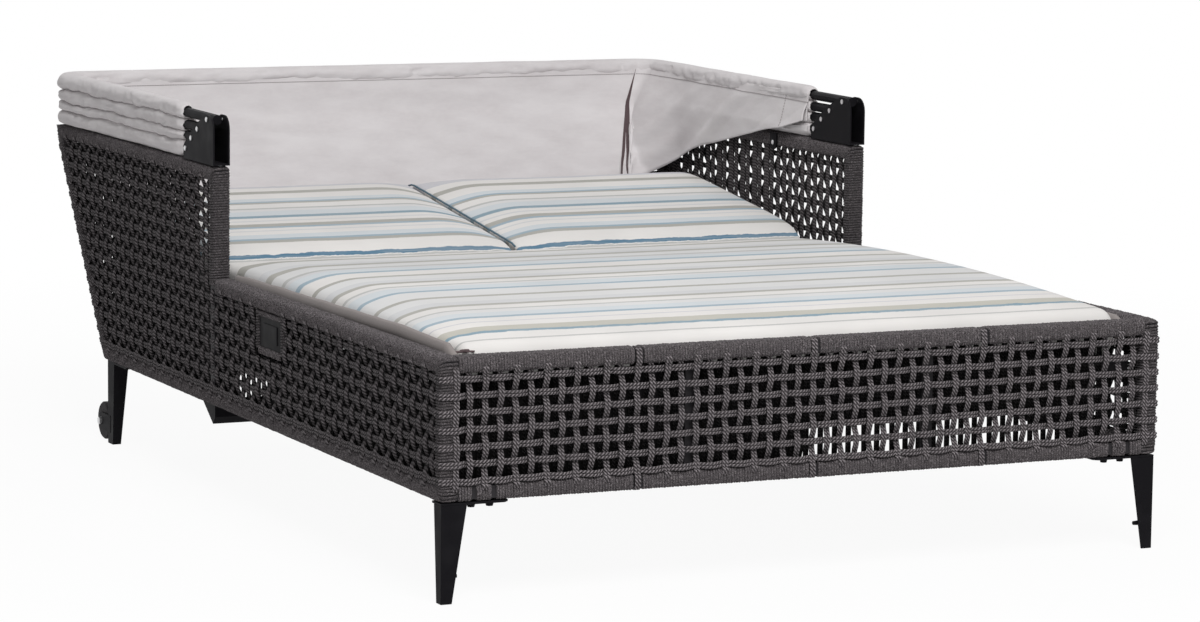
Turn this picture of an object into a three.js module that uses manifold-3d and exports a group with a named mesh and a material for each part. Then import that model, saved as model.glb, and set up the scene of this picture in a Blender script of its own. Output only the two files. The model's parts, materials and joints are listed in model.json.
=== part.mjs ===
// Outdoor daybed with a fold-down canopy: a rope-woven box on four tapered legs, two lifting
// backrests and four canopy bows that fold back onto the arms.
// Millimetres, +Z up, X across the width, the foot end towards -Y, the origin on the ground
// under the middle of the bed.
import * as THREE from "three";
import { mergeVertices } from "three/addons/utils/BufferGeometryUtils.js";
import Module from "manifold-3d";

const wasm = await Module();
wasm.setup();

// Overall sizes
const bedWidth = 1370;
const bedLength = 2075;
const armLength = 977.5;
const legHeight = 168;
const rimHeight = 410;
const armHeight = 618;
const wallLean = 320;
const runningGap = 0.3;
const cutOverrun = 2;

// Rope-wrapped rails: a tube with one layer of cord round it
const railWidth = 36;
const railHeight = 30;
const cordWall = 4.5;
const studDepth = 18;
const studWidth = 21;
const studPlaceShare = 0.33;

// Woven panels: a coarse grid of doubled cords between the wrapped rails
const netWall = 4.2;
const cordPairWidth = 10;
const netGrip = 2;
const footColumns = 18;
const footRows = 3;
const lowSideColumns = 12;
const lowSideRows = 3;
const armSideColumns = 8;
const armSideRows = 4;
const rearColumns = 12;
const rearRows = 4;

// Cover plate in its rope-wrapped pocket, left side only
const coverLength = 111;
const coverHeight = 55;
const coverThickness = 4;
const coverPanelInset = 21;
const coverPanelInsetZ = 11;
const coverPanelRaise = 1.6;
const coverAheadOfArm = 237.5;
const coverDropFromRim = 40;
const pocketWall = 15;
const pocketDepth = 18;
const pocketRecess = 9.5;

// Legs, their bolting flanges and the wheels of the head end
const frontLegInset = 4;
const rearLegInset = 8;
const frontLegTop = 46;
const frontLegFoot = 20;
const rearLegTopX = 31;
const rearLegFootX = 17;
const rearLegTopY = 40;
const rearLegFootY = 30;
const flangeThickness = 4;
const flangeReach = 76;
const flangeWidth = 40;
const wheelRadius = 38;
const wheelWidth = 13;
const wheelGroundClearance = 1;
const wheelBehindLeg = 2;
const hubRadius = 12;
const hubWidth = 15;
const tyreShoulder = 3;
const wheelSegments = 24;
const axleRadius = 4;
const axleHeadRadius = 8;
const axleHeadThickness = 6;
const forkThickness = 3;
const forkEarRadius = 17;

// Centre cross-beam, folded from sheet, and its two deck posts
const beamTopWidth = 69;
const beamFrontDrop = 24;
const beamDepth = 38;
const beamKeelShare = 0.16;
const beamSheet = 3;
const beamEndInset = 13;
const beamAheadOfPost = 26;
const deckPostSize = 25;
const deckPostSpread = 300;

// Seat deck, its hangers and ledges
const deckTop = 337;
const deckTubeHeight = 25;
const deckTubeWidth = 30;
const deckHingeGap = 18;
const slatThickness = 11;
const slatWidth = 60;
const slatDrop = 1;
const seatSlats = 8;
const hangerThickness = 4;
const hangerWidth = 50;
const hangerRise = 20;
const ledgeThickness = 5.7;
const ledgeReach = 28;
const sideHangerShares = [0.22, 0.68];
const footHangerOffset = 300;

// Backrests, their hinge rods, prop bails and racks
const hingeBehindArm = 210;
const hingeAboveDeckBottom = 13;
const restIncline = 7.2;
const backTravel = 45;
const backEndGap = 18.5;
const backTube = 25;
const backNose = 11;
const backSideGap = 27;
const centreGap = 8;
const backSlatThickness = 10.5;
const backSlatShares = [
  [0.05, 0.15],
  [0.22, 0.34],
  [0.55, 0.67],
  [0.75, 0.87],
];
const earThickness = 6;
const earRadius = 11.5;
const earNeck = 5;
const hingeRodRadius = 5;
const rodProud = 0.6;
const propReachShare = 0.4465;
const propRodRadius = 6.5;
const propArmInset = 11;
const trunnionLength = 15;
const rackWidth = 20;
const rackHeight = 21;
const rackTeeth = 8;
const rackFrontMargin = 4;
const toothDepth = 6;
const ledgerHeight = 21;
const swingClearance = 2;

// Cushions
const cushionThickness = 84;
const cushionCrown = 8;
const cushionCorner = 34;
const cushionEdge = 14;
const cushionPull = 5;
const cornerSteps = 3;
const crownShares = [
  [0.25, 0.6],
  [0.6, 1],
];
const seatSideGap = 14.5;
const seatFrontGap = 9;
const seatHingeGap = 70;
const backCushionOverhang = 2.6;
const backCushionInner = 3;
const backCushionEndGap = 20;
const noseClearance = 1;
const scoopClearance = 5;
const noseSides = 48;

// Canopy brackets on the arm ends, and the four bows
const bracketWidth = 33;
const bracketSheet = 3;
const bracketHeight = 92;
const bracketFrontSetback = 3;
const bracketCorner = 26;
const bracketCornerSteps = 5;
const bracketMargin = 12;
const rivetsBehindArmFront = [157, 125, 90, 37];
const rivetsAboveArm = [20, 42, 62, 84];
const rivetRadius = 3;
const rivetHeadRadius = 5;
const rivetHeadThickness = 1.5;
const rivetSides = 8;
const bowRearHeights = [14, 38, 62, 88];
const bowTubeRadius = 8;
const bowSocketRadius = 9.5;
const bowSocketLength = 186;
const bowStub = 12;
const bowBendRadius = 45;
const bowBendSteps = 4;
const bowRearSetback = 21.5;

// Canopy cloth: a sleeve on each bow and the gore that hangs from it
const sleeveStart = 192;
const sleeveHalfWidth = 15;
const sleeveHalfNear = 9.7;
const sleeveHalfFar = 11.6;
const topSleeveExtra = 4.5;
const sleevePucker = 0.5;
const clothThickness = 2.4;
const goreGap = 0.6;
const goreSideFirst = 1;
const goreDropFront = 52;
const goreHemHeight = 480;
const goreHemRise = 4;
const goreHemAheadOfWall = 30;
const goreHemSpacing = 8;
const goreWave = 4;
const goreWaves = 6;

// Derived places
const halfWidth = bedWidth / 2;
const footY = -bedLength / 2;
const headY = bedLength / 2;
const armFrontY = headY - armLength;
const footToArm = bedLength - armLength;
const wallSlope = wallLean / (armHeight - legHeight);
const wallCos = 1 / Math.hypot(1, wallSlope);
const rearBottomY = headY - wallLean;
const railCentreX = halfWidth - railWidth / 2;
const tubeInnerX = halfWidth - railWidth + cordWall;
const tubeOuterX = halfWidth - cordWall;
const innerFaceX = halfWidth - railWidth;
const innerFootY = footY + railWidth;
const deckBottom = deckTop - deckTubeHeight;
const hingeY = armFrontY + hingeBehindArm;
const hingeZ = deckBottom + hingeAboveDeckBottom;
const deckRearY = hingeY - deckHingeGap;
const incline = THREE.MathUtils.degToRad(restIncline);
const travel = THREE.MathUtils.degToRad(backTravel);
const deckHalfWidth = innerFaceX - runningGap - hangerThickness - runningGap;
const deckFrontY = innerFootY + runningGap + hangerThickness + runningGap;

// The leaning rear wall: the Y of its outer face at a height, moved in by a depth
const wallY = (z, depth = 0) => headY - (armHeight - z) * wallSlope - depth / wallCos;

// Backrest: reaches from the hinge towards the inner face of the rear wall
const backEndZ = (hingeZ + rimHeight) / 2 + backTube;
const backLength = (wallY(backEndZ, railHeight) - backEndGap - hingeY) / Math.cos(incline);
const propReach = backLength * propReachShare;

// A closed geometry as a solid
function solid(geometry) {
  const bare = new THREE.BufferGeometry();
  bare.setAttribute("position", geometry.getAttribute("position"));
  if (geometry.index) bare.setIndex(geometry.index);
  const merged = mergeVertices(bare, 1e-4);
  return new wasm.Manifold(
    new wasm.Mesh({
      numProp: 3,
      vertProperties: new Float32Array(merged.attributes.position.array),
      triVerts: new Uint32Array(merged.index.array),
    }),
  );
}

const join = (...parts) => parts.flat().reduce((a, b) => a.add(b));
const cut = (body, ...tools) => tools.flat().reduce((a, b) => a.subtract(b), body);

// A box between two corners
const unitBox = new THREE.BoxGeometry().translate(1 / 2, 1 / 2, 1 / 2);
function block(low, high) {
  const corner = new THREE.Vector3(...low);
  const size = new THREE.Vector3(...high).sub(corner);
  const fit = new THREE.Matrix4().compose(corner, new THREE.Quaternion(), size);
  return solid(unitBox.clone().applyMatrix4(fit));
}

// A side view in Y and Z, with holes, swept across X
function side(outline, x0, x1, holes = []) {
  const points = (view) => view.map(([y, z]) => new THREE.Vector2(y, z));
  const shape = new THREE.Shape(points(outline));
  shape.holes = holes.map((view) => new THREE.Path(points(view)));
  const body = new THREE.ExtrudeGeometry(shape, { depth: 1, bevelEnabled: false });
  const place = new THREE.Matrix4().makeBasis(
    new THREE.Vector3(0, 1, 0),
    new THREE.Vector3(0, 0, 1),
    new THREE.Vector3(x1 - x0, 0, 0),
  );
  return solid(body.applyMatrix4(place.setPosition(x0, 0, 0)));
}

// The same side view between two distances from the middle, on the left (-1) or right (1)
const onSide = (hand, outline, near, far, holes = []) =>
  hand > 0 ? side(outline, near, far, holes) : side(outline, -far, -near, holes);
const blockOnSide = (hand, near, far, y0, y1, z0, z1) =>
  hand > 0 ? block([near, y0, z0], [far, y1, z1]) : block([-far, y0, z0], [-near, y1, z1]);

// A round bar between two points
function rod(from, to, radius, sides = 10) {
  const a = new THREE.Vector3(...from);
  const along = new THREE.Vector3(...to).sub(a);
  const bar = new THREE.CylinderGeometry(radius, radius, along.length(), sides);
  const turn = new THREE.Quaternion().setFromUnitVectors(
    new THREE.Vector3(0, 1, 0),
    along.clone().normalize(),
  );
  bar.applyQuaternion(turn);
  bar.translate(...a.addScaledVector(along, 1 / 2).toArray());
  return solid(bar);
}

// The cutter for a round hole in which a bar of a radius turns
const hole = (from, to, radius, sides = 10) =>
  rod(from, to, (radius + runningGap) / Math.cos(Math.PI / sides), sides);

// A skin over a row of rings with equal counts of points, closed at both ends
function loft(rings) {
  const count = rings[0].length;
  const points = rings.flat();
  const faces = [];
  for (let r = 0; r + 1 < rings.length; r++)
    for (let i = 0; i < count; i++) {
      const j = (i + 1) % count;
      const [a, b, c, d] = [r * count + i, r * count + j, (r + 1) * count + j, (r + 1) * count + i];
      faces.push(a, b, c, a, c, d);
    }
  for (const [first, flip] of [[0, true], [(rings.length - 1) * count, false]]) {
    const middle = new THREE.Vector3();
    for (let i = 0; i < count; i++) middle.addScaledVector(points[first + i], 1 / count);
    points.push(middle);
    for (let i = 0; i < count; i++) {
      const j = (i + 1) % count;
      faces.push(points.length - 1, first + (flip ? j : i), first + (flip ? i : j));
    }
  }
  const skin = new THREE.BufferGeometry();
  skin.setAttribute(
    "position",
    new THREE.Float32BufferAttribute(points.flatMap((p) => p.toArray()), 3),
  );
  skin.setIndex(faces);
  return solid(skin);
}

// Moves each edge of a counter-clockwise outline inwards by a depth
function insetOutline(outline, depth) {
  const count = outline.length;
  const edges = outline.map(([x, y], i) => {
    const [nx, ny] = outline[(i + 1) % count];
    const length = Math.hypot(nx - x, ny - y);
    const [dx, dy] = [(nx - x) / length, (ny - y) / length];
    return { x: x - dy * depth, y: y + dx * depth, dx, dy };
  });
  return edges.map((edge, i) => {
    const last = edges[(i + count - 1) % count];
    const t =
      ((edge.x - last.x) * edge.dy - (edge.y - last.y) * edge.dx) /
      (last.dx * edge.dy - last.dy * edge.dx);
    return [last.x + last.dx * t, last.y + last.dy * t];
  });
}

const rectangle = (y0, y1, z0, z1) => [
  [y0, z0],
  [y1, z0],
  [y1, z1],
  [y0, z1],
];

// A strip of the leaning wall between two heights and two depths
const wallStrip = (z0, z1, outer, inner) => [
  [wallY(z0, inner), z0],
  [wallY(z0, outer), z0],
  [wallY(z1, outer), z1],
  [wallY(z1, inner), z1],
];

// Finishes
const finish = {
  tube: new THREE.MeshStandardMaterial({ color: 0x2b2a2c, roughness: 0.45, metalness: 0.6 }),
  rope: new THREE.MeshStandardMaterial({ color: 0x4a4648, roughness: 0.95, metalness: 0 }),
  black: new THREE.MeshStandardMaterial({ color: 0x1d1c1e, roughness: 0.4, metalness: 0.5 }),
  steel: new THREE.MeshStandardMaterial({ color: 0xb9babc, roughness: 0.3, metalness: 1 }),
  tyre: new THREE.MeshStandardMaterial({ color: 0x2a2a2a, roughness: 0.8, metalness: 0 }),
  cloth: new THREE.MeshStandardMaterial({ color: 0xc4bfba, roughness: 0.9, metalness: 0 }),
  stripe: new THREE.MeshStandardMaterial({ color: 0xdfe0dd, roughness: 0.9, metalness: 0 }),
  plastic: new THREE.MeshStandardMaterial({ color: 0x19191a, roughness: 0.55, metalness: 0 }),
};

const daybed = new THREE.Group();

// Adds a solid to a group as one named piece
function piece(name, body, material, group = daybed) {
  const { numProp, vertProperties, triVerts } = body.getMesh();
  const positions = new Float32Array(triVerts.length * 3);
  triVerts.forEach((vertex, i) => {
    for (let k = 0; k < 3; k++) positions[i * 3 + k] = vertProperties[vertex * numProp + k];
  });
  const geometry = new THREE.BufferGeometry();
  geometry.setAttribute("position", new THREE.BufferAttribute(positions, 3));
  geometry.computeVertexNormals();
  const mesh = new THREE.Mesh(geometry, material);
  mesh.name = name;
  group.add(mesh);
  return mesh;
}

// The tubes inside the rope. Each entry is a side view; grow widens it for the rope's cavity.
const lowZ = [legHeight + cordWall, legHeight + railHeight - cordWall];
const rimZ = [rimHeight - railHeight + cordWall, rimHeight - cordWall];
const armZ = [armHeight - railHeight + cordWall, armHeight - cordWall];
const postY = [armFrontY + cordWall, armFrontY + railHeight - cordWall];
const frontPostY = [footY + cordWall, footY + railHeight - cordWall];
const footRailY = [footY + cordWall, footY + railWidth - cordWall];
const bayZ = [legHeight + railHeight, rimHeight - railHeight];
const armBayZ = [legHeight + railHeight, armHeight - railHeight];

const sideTubes = {
  side_lower_frame: {
    outline: rectangle(frontPostY[0], postY[1], lowZ[0], rimZ[1]),
    hole: rectangle(frontPostY[1], postY[0], lowZ[1], rimZ[0]),
  },
  side_rear_rail: {
    outline: [
      [postY[1] + runningGap, lowZ[0]],
      [wallY(lowZ[0], cordWall), lowZ[0]],
      [wallY(lowZ[1], cordWall), lowZ[1]],
      [postY[1] + runningGap, lowZ[1]],
    ],
  },
  arm_post: {
    outline: rectangle(postY[0], postY[1], rimZ[1] + runningGap, armZ[0] - runningGap),
  },
  arm_rail: {
    outline: [
      [postY[0], armZ[0]],
      [wallY(armZ[0], cordWall), armZ[0]],
      [wallY(armZ[1], cordWall), armZ[1]],
      [postY[0], armZ[1]],
    ],
  },
  back_post: {
    outline: wallStrip(
      lowZ[1] + runningGap,
      armZ[0] - runningGap,
      cordWall,
      railHeight - cordWall,
    ),
  },
};

function sideTube({ outline, hole }, hand, grow = 0) {
  const holes = hole ? [insetOutline(hole, grow)] : [];
  const outer = insetOutline(outline, -grow);
  return onSide(hand, outer, tubeInnerX - grow, tubeOuterX + grow, holes);
}

// A bent strap that hangs from a rim rail and carries the deck on its ledge
const ledgeZ = [deckBottom - runningGap - ledgeThickness, deckBottom - runningGap];
const hangerTopZ = rimHeight - hangerRise;

function sideHanger(hand, y, grow = 0) {
  const strapX = [innerFaceX - runningGap - hangerThickness, innerFaceX - runningGap];
  const [y0, y1] = [y - hangerWidth / 2 - grow, y + hangerWidth / 2 + grow];
  const strap = (near, far, z0, z1) =>
    blockOnSide(hand, near - grow, far + grow, y0, y1, z0 - grow, z1 + grow);
  return join(
    strap(strapX[0], tubeInnerX + cutOverrun, hangerTopZ - hangerThickness, hangerTopZ),
    strap(strapX[0], strapX[1], ledgeZ[0], hangerTopZ),
    strap(strapX[1] - ledgeReach, strapX[1], ledgeZ[0], ledgeZ[1]),
  );
}

function footHanger(x, grow = 0) {
  const strapY = [innerFootY + runningGap, innerFootY + runningGap + hangerThickness];
  const [x0, x1] = [x - hangerWidth / 2 - grow, x + hangerWidth / 2 + grow];
  const strap = (y0, y1, z0, z1) =>
    block([x0, y0 - grow, z0 - grow], [x1, y1 + grow, z1 + grow]);
  return join(
    strap(footRailY[1] - cutOverrun, strapY[1], hangerTopZ - hangerThickness, hangerTopZ),
    strap(strapY[0], strapY[1], ledgeZ[0], hangerTopZ),
    strap(strapY[0], strapY[0] + ledgeReach, ledgeZ[0], ledgeZ[1]),
  );
}

const hangerPlaces = sideHangerShares.map((share) => footY + share * footToArm);
const footRailEnd = tubeInnerX - runningGap;
const studX = studPlaceShare * halfWidth;

function sideLowerFrame(hand, grow = 0) {
  const tubes = sideTube(sideTubes.side_lower_frame, hand, grow);
  const ledge = blockOnSide(
    hand,
    innerFaceX - ledgeReach,
    tubeInnerX + cutOverrun,
    postY[0],
    postY[1],
    ...ledgeZ,
  );
  return join(tubes, ledge, hangerPlaces.map((y) => sideHanger(hand, y, grow)));
}

function footFrame(grow = 0) {
  const rail = ([z0, z1]) =>
    block(
      [-footRailEnd - grow, footRailY[0] - grow, z0 - grow],
      [footRailEnd + grow, footRailY[1] + grow, z1 + grow],
    );
  const stud = (x) =>
    block(
      [x - studWidth / 2 - grow, footRailY[1] - studDepth - grow, lowZ[1] - cutOverrun],
      [x + studWidth / 2 + grow, footRailY[1] + grow, rimZ[0] + cutOverrun],
    );
  const hangers = [-footHangerOffset, footHangerOffset].map((x) => footHanger(x, grow));
  return join(rail(lowZ), rail(rimZ), stud(-studX), stud(studX), hangers);
}

const wallInner = railHeight - cordWall;
const ledgerTop = ledgeZ[1] - rackHeight - runningGap;
const ledgerZ = [ledgerTop - ledgerHeight, ledgerTop];

function rearRail([z0, z1], outer, grow = 0) {
  const strip = insetOutline(wallStrip(z0, z1, outer, wallInner), -grow);
  return side(strip, -footRailEnd - grow, footRailEnd + grow);
}

function rearLowerFrame(grow = 0) {
  const studStrip = wallStrip(
    lowZ[1] - cutOverrun,
    ledgerZ[0] + cutOverrun,
    wallInner - studDepth,
    wallInner,
  );
  const stud = (x) =>
    side(insetOutline(studStrip, -grow), x - studWidth / 2 - grow, x + studWidth / 2 + grow);
  const rails = [rearRail(lowZ, cordWall, grow), rearRail(ledgerZ, wallInner - studDepth, grow)];
  return join(rails, stud(-studX), stud(studX));
}

for (const [hand, suffix] of [[-1, "left"], [1, "right"]]) {
  piece(`side_lower_frame_${suffix}`, sideLowerFrame(hand), finish.tube);
  for (const name of ["side_rear_rail", "arm_post", "arm_rail", "back_post"])
    piece(`${name}_${suffix}`, sideTube(sideTubes[name], hand), finish.tube);
}
piece("foot_frame", footFrame(), finish.tube);
piece("rear_lower_frame", rearLowerFrame(), finish.tube);
piece("rear_top_rail", rearRail(armZ, cordWall), finish.tube);

// Rope: wrapped rails and woven panel as one skin, hollow where the tubes run
const cavities = (hand) => [
  sideLowerFrame(hand, runningGap),
  ...["side_rear_rail", "arm_post", "arm_rail", "back_post"].map((name) =>
    sideTube(sideTubes[name], hand, runningGap),
  ),
];
const crossCavities = [
  footFrame(runningGap),
  rearLowerFrame(runningGap),
  rearRail(armZ, cordWall, runningGap),
];
const spread = (from, to, count) =>
  Array.from({ length: count - 1 }, (_, i) => from + ((to - from) * (i + 1)) / count);

// A woven panel in a side view: crossing doubled cords kept inside the bay
function sideNet(hand, bay, columns, rows) {
  const ys = bay.map(([y]) => y);
  const zs = bay.map(([, z]) => z);
  const [y0, y1, z0, z1] = [Math.min(...ys), Math.max(...ys), Math.min(...zs), Math.max(...zs)];
  const near = halfWidth - netWall;
  const half = cordPairWidth / 2;
  const bars = [
    ...spread(y0, y1, columns).map((y) =>
      blockOnSide(hand, near, halfWidth, y - half, y + half, z0 - netGrip, z1 + netGrip),
    ),
    ...spread(z0, z1, rows).map((z) =>
      blockOnSide(hand, near, halfWidth, y0 - netGrip, y1 + netGrip, z - half, z + half),
    ),
  ];
  return join(bars).intersect(onSide(hand, insetOutline(bay, -netGrip), near, halfWidth));
}

const seam = armFrontY - runningGap;
const lowBay = rectangle(footY + railHeight, seam - netGrip, ...bayZ);
const armBay = [
  [armFrontY + netGrip, armBayZ[0]],
  [wallY(armBayZ[0], railHeight), armBayZ[0]],
  [wallY(armBayZ[1], railHeight), armBayZ[1]],
  [armFrontY + railHeight, armBayZ[1]],
  [armFrontY + railHeight, rimHeight],
  [armFrontY + netGrip, rimHeight],
];
const coverRearY = armFrontY - coverAheadOfArm;
const coverY = [coverRearY - coverLength, coverRearY];
const coverZ = [rimHeight - coverDropFromRim - coverHeight, rimHeight - coverDropFromRim];

function coverPocket() {
  const frame = block(
    [-halfWidth, coverY[0] - pocketWall, coverZ[0] - pocketWall],
    [-halfWidth + pocketDepth, coverY[1] + pocketWall, rimHeight - railHeight + netGrip],
  );
  const recess = block(
    [-halfWidth - cutOverrun, coverY[0] - runningGap, coverZ[0] - runningGap],
    [-halfWidth + pocketRecess, coverY[1] + runningGap, coverZ[1] + runningGap],
  );
  return { frame, recess };
}

function lowSideRope(hand) {
  const wrap = [
    rectangle(footY, seam, legHeight, legHeight + railHeight),
    rectangle(footY, seam, rimHeight - railHeight, rimHeight),
    rectangle(footY, footY + railHeight, legHeight, rimHeight),
  ].map((outline) => onSide(hand, outline, innerFaceX, halfWidth));
  let rope = join(wrap, sideNet(hand, lowBay, lowSideColumns, lowSideRows));
  if (hand < 0) {
    const pocket = coverPocket();
    rope = cut(join(rope, pocket.frame), pocket.recess);
  }
  return cut(rope, cavities(hand), crossCavities);
}

function armSideRope(hand) {
  const wrap = [
    [
      [armFrontY, legHeight],
      [wallY(legHeight), legHeight],
      [wallY(legHeight + railHeight), legHeight + railHeight],
      [armFrontY, legHeight + railHeight],
    ],
    [
      [armFrontY, armHeight - railHeight],
      [wallY(armHeight - railHeight), armHeight - railHeight],
      [wallY(armHeight), armHeight],
      [armFrontY, armHeight],
    ],
    rectangle(armFrontY, armFrontY + railHeight, rimHeight, armHeight),
    wallStrip(legHeight, armHeight, 0, railHeight),
  ].map((outline) => onSide(hand, outline, innerFaceX, halfWidth));
  const rope = join(wrap, sideNet(hand, armBay, armSideColumns, armSideRows));
  return cut(rope, cavities(hand), crossCavities);
}

const ropeEndX = innerFaceX - runningGap;

function footRope() {
  const wrap = [
    [legHeight, legHeight + railHeight],
    [rimHeight - railHeight, rimHeight],
  ].map(([z0, z1]) => block([-ropeEndX, footY, z0], [ropeEndX, innerFootY, z1]));
  const half = cordPairWidth / 2;
  const columns = spread(-ropeEndX, ropeEndX, footColumns).map((x) =>
    block([x - half, footY, bayZ[0] - netGrip], [x + half, footY + netWall, bayZ[1] + netGrip]),
  );
  const rows = spread(...bayZ, footRows).map((z) =>
    block([-ropeEndX, footY, z - half], [ropeEndX, footY + netWall, z + half]),
  );
  return cut(join(wrap, columns, rows), crossCavities);
}

function rearRope() {
  const strip = (z0, z1, depth, x0, x1) => side(wallStrip(z0, z1, 0, depth), x0, x1);
  const half = cordPairWidth / 2;
  const wrap = [
    strip(legHeight, legHeight + railHeight, railHeight, -ropeEndX, ropeEndX),
    strip(armHeight - railHeight, armHeight, railHeight, -ropeEndX, ropeEndX),
  ];
  const columns = spread(-ropeEndX, ropeEndX, rearColumns).map((x) =>
    strip(armBayZ[0] - netGrip, armBayZ[1] + netGrip, netWall, x - half, x + half),
  );
  const rows = spread(...armBayZ, rearRows).map((z) =>
    strip(z - half, z + half, netWall, -ropeEndX, ropeEndX),
  );
  return cut(join(wrap, columns, rows), crossCavities);
}

piece("rope_foot", footRope(), finish.rope);
piece("rope_rear", rearRope(), finish.rope);
for (const [hand, suffix] of [[-1, "left"], [1, "right"]]) {
  piece(`rope_side_low_${suffix}`, lowSideRope(hand), finish.rope);
  piece(`rope_side_arm_${suffix}`, armSideRope(hand), finish.rope);
}

// Cover plate: a flat plate with a raised inner panel
function coverPlate() {
  const back = -halfWidth + pocketRecess - runningGap;
  const face = back - coverThickness;
  return join(
    block([face, coverY[0], coverZ[0]], [back, coverY[1], coverZ[1]]),
    block(
      [face - coverPanelRaise, coverY[0] + coverPanelInset, coverZ[0] + coverPanelInsetZ],
      [face, coverY[1] - coverPanelInset, coverZ[1] - coverPanelInsetZ],
    ),
  );
}
piece("side_cover_plate", coverPlate(), finish.plastic);

// Legs: tapered posts whose outer faces stand upright, with a bolting flange under the rail
const legTopZ = legHeight - runningGap;

function rectangleRing(x0, x1, y0, y1, z) {
  return [[x0, y0], [x1, y0], [x1, y1], [x0, y1]].map(([x, y]) => new THREE.Vector3(x, y, z));
}

// A leg drawn on the right: outerX and fixedY are its upright faces
function legPost(outerX, fixedY, topX, topY, footX, footY2, inward) {
  const ring = (sizeX, sizeY, z) => {
    const ys = [fixedY, fixedY + inward * sizeY].sort((a, b) => a - b);
    return rectangleRing(outerX - sizeX, outerX, ...ys, z);
  };
  return loft([ring(footX, footY2, 0), ring(topX, topY, legTopZ)]);
}

const mirrorX = (body, hand) => (hand > 0 ? body : body.mirror([1, 0, 0]));
const frontLegX = halfWidth - frontLegInset;
const frontLegY = footY + frontLegInset;
const rearLegX = halfWidth - rearLegInset;
const rearLegY = rearBottomY - rearLegInset;
const axleY = rearLegY + wheelBehindLeg + wheelRadius;
const axleZ = wheelRadius + wheelGroundClearance;
const wheelCentreX = rearLegX - rearLegFootX / 2 - forkThickness / 2;
const forkInner = hubWidth / 2 + runningGap;

function frontLeg() {
  const post = legPost(frontLegX, frontLegY, frontLegTop, frontLegTop, frontLegFoot, frontLegFoot, 1);
  const flange = block(
    [frontLegX - frontLegTop - flangeReach, frontLegY, legTopZ - flangeThickness],
    [frontLegX, frontLegY + flangeWidth, legTopZ],
  );
  return join(post, flange);
}

function rearLeg() {
  const post = legPost(
    rearLegX,
    rearLegY,
    rearLegTopX,
    rearLegTopY,
    rearLegFootX,
    rearLegFootY,
    -1,
  );
  const flange = block(
    [rearLegX - rearLegTopX, rearLegY - rearLegTopY - flangeReach, legTopZ - flangeThickness],
    [rearLegX, rearLegY, legTopZ],
  );
  const ears = [-1, 1].map((way) => {
    const x0 = wheelCentreX + (way < 0 ? -forkInner - forkThickness : forkInner);
    const plate = block(
      [x0, rearLegY - rearLegFootY / 2, axleZ - forkEarRadius],
      [x0 + forkThickness, axleY, axleZ + forkEarRadius],
    );
    return join(plate, rod([x0, axleY, axleZ], [x0 + forkThickness, axleY, axleZ], forkEarRadius, 16));
  });
  const bore = hole(
    [wheelCentreX - halfWidth, axleY, axleZ],
    [wheelCentreX + halfWidth, axleY, axleZ],
    axleRadius,
  );
  return cut(join(post, flange, ears), bore);
}

// Wheel: turned about its axle, with a shouldered tyre and a hub that is wider than the rim
function wheel() {
  const bore = axleRadius + runningGap;
  const profile = [
    [bore, -hubWidth / 2],
    [hubRadius, -hubWidth / 2],
    [hubRadius, -wheelWidth / 2],
    [wheelRadius - tyreShoulder, -wheelWidth / 2],
    [wheelRadius, -wheelWidth / 2 + tyreShoulder],
    [wheelRadius, wheelWidth / 2 - tyreShoulder],
    [wheelRadius - tyreShoulder, wheelWidth / 2],
    [hubRadius, wheelWidth / 2],
    [hubRadius, hubWidth / 2],
    [bore, hubWidth / 2],
    [bore, -hubWidth / 2],
  ].map(([r, x]) => new THREE.Vector2(r, x));
  const turned = new THREE.LatheGeometry(profile, wheelSegments);
  turned.rotateZ(-Math.PI / 2);
  turned.translate(wheelCentreX, axleY, axleZ);
  return solid(turned);
}

function wheelAxle() {
  const reach = forkInner + forkThickness + runningGap;
  const at = (x) => [wheelCentreX + x, axleY, axleZ];
  return join(
    rod(at(-reach - axleHeadThickness / 2), at(reach + axleHeadThickness), axleRadius),
    rod(at(reach), at(reach + axleHeadThickness), axleHeadRadius, 6),
    rod(at(-reach - axleHeadThickness / 2), at(-reach), axleHeadRadius, 16),
  );
}

for (const [hand, suffix] of [[-1, "left"], [1, "right"]]) {
  piece(`leg_front_${suffix}`, mirrorX(frontLeg(), hand), finish.black);
  piece(`leg_rear_${suffix}`, mirrorX(rearLeg(), hand), finish.black);
  piece(`wheel_${suffix}`, mirrorX(wheel(), hand), finish.tyre);
  piece(`wheel_axle_${suffix}`, mirrorX(wheelAxle(), hand), finish.steel);
}

// Centre cross-beam: sheet folded to a keel, open on top, with two posts up to the deck
const beamFrontY = armFrontY + beamAheadOfPost;
const beamTopZ = legHeight - runningGap;
const deckPostY = [
  beamFrontY + beamSheet + cutOverrun,
  beamFrontY + beamSheet + cutOverrun + deckPostSize,
];

function crossBeam() {
  const outer = [
    [beamFrontY, beamTopZ],
    [beamFrontY, beamTopZ - beamFrontDrop],
    [beamFrontY + beamTopWidth * beamKeelShare, beamTopZ - beamDepth],
    [beamFrontY + beamTopWidth, beamTopZ],
  ];
  const beamEndX = halfWidth - beamEndInset;
  const trough = side(
    insetOutline(outer, beamSheet),
    -beamEndX + beamSheet,
    beamEndX - beamSheet,
  );
  const mouth = block(
    [-beamEndX + railWidth, beamFrontY + beamSheet, beamTopZ - beamSheet - cutOverrun],
    [beamEndX - railWidth, beamFrontY + beamTopWidth - beamSheet * 3, beamTopZ + cutOverrun],
  );
  const posts = [-deckPostSpread, deckPostSpread].map((x) =>
    block(
      [x - deckPostSize / 2, deckPostY[0], beamTopZ - beamFrontDrop],
      [x + deckPostSize / 2, deckPostY[1], deckBottom - runningGap],
    ),
  );
  return join(cut(side(outer, -beamEndX, beamEndX), trough, mouth), posts);
}
piece("centre_cross_beam", crossBeam(), finish.black);

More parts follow.
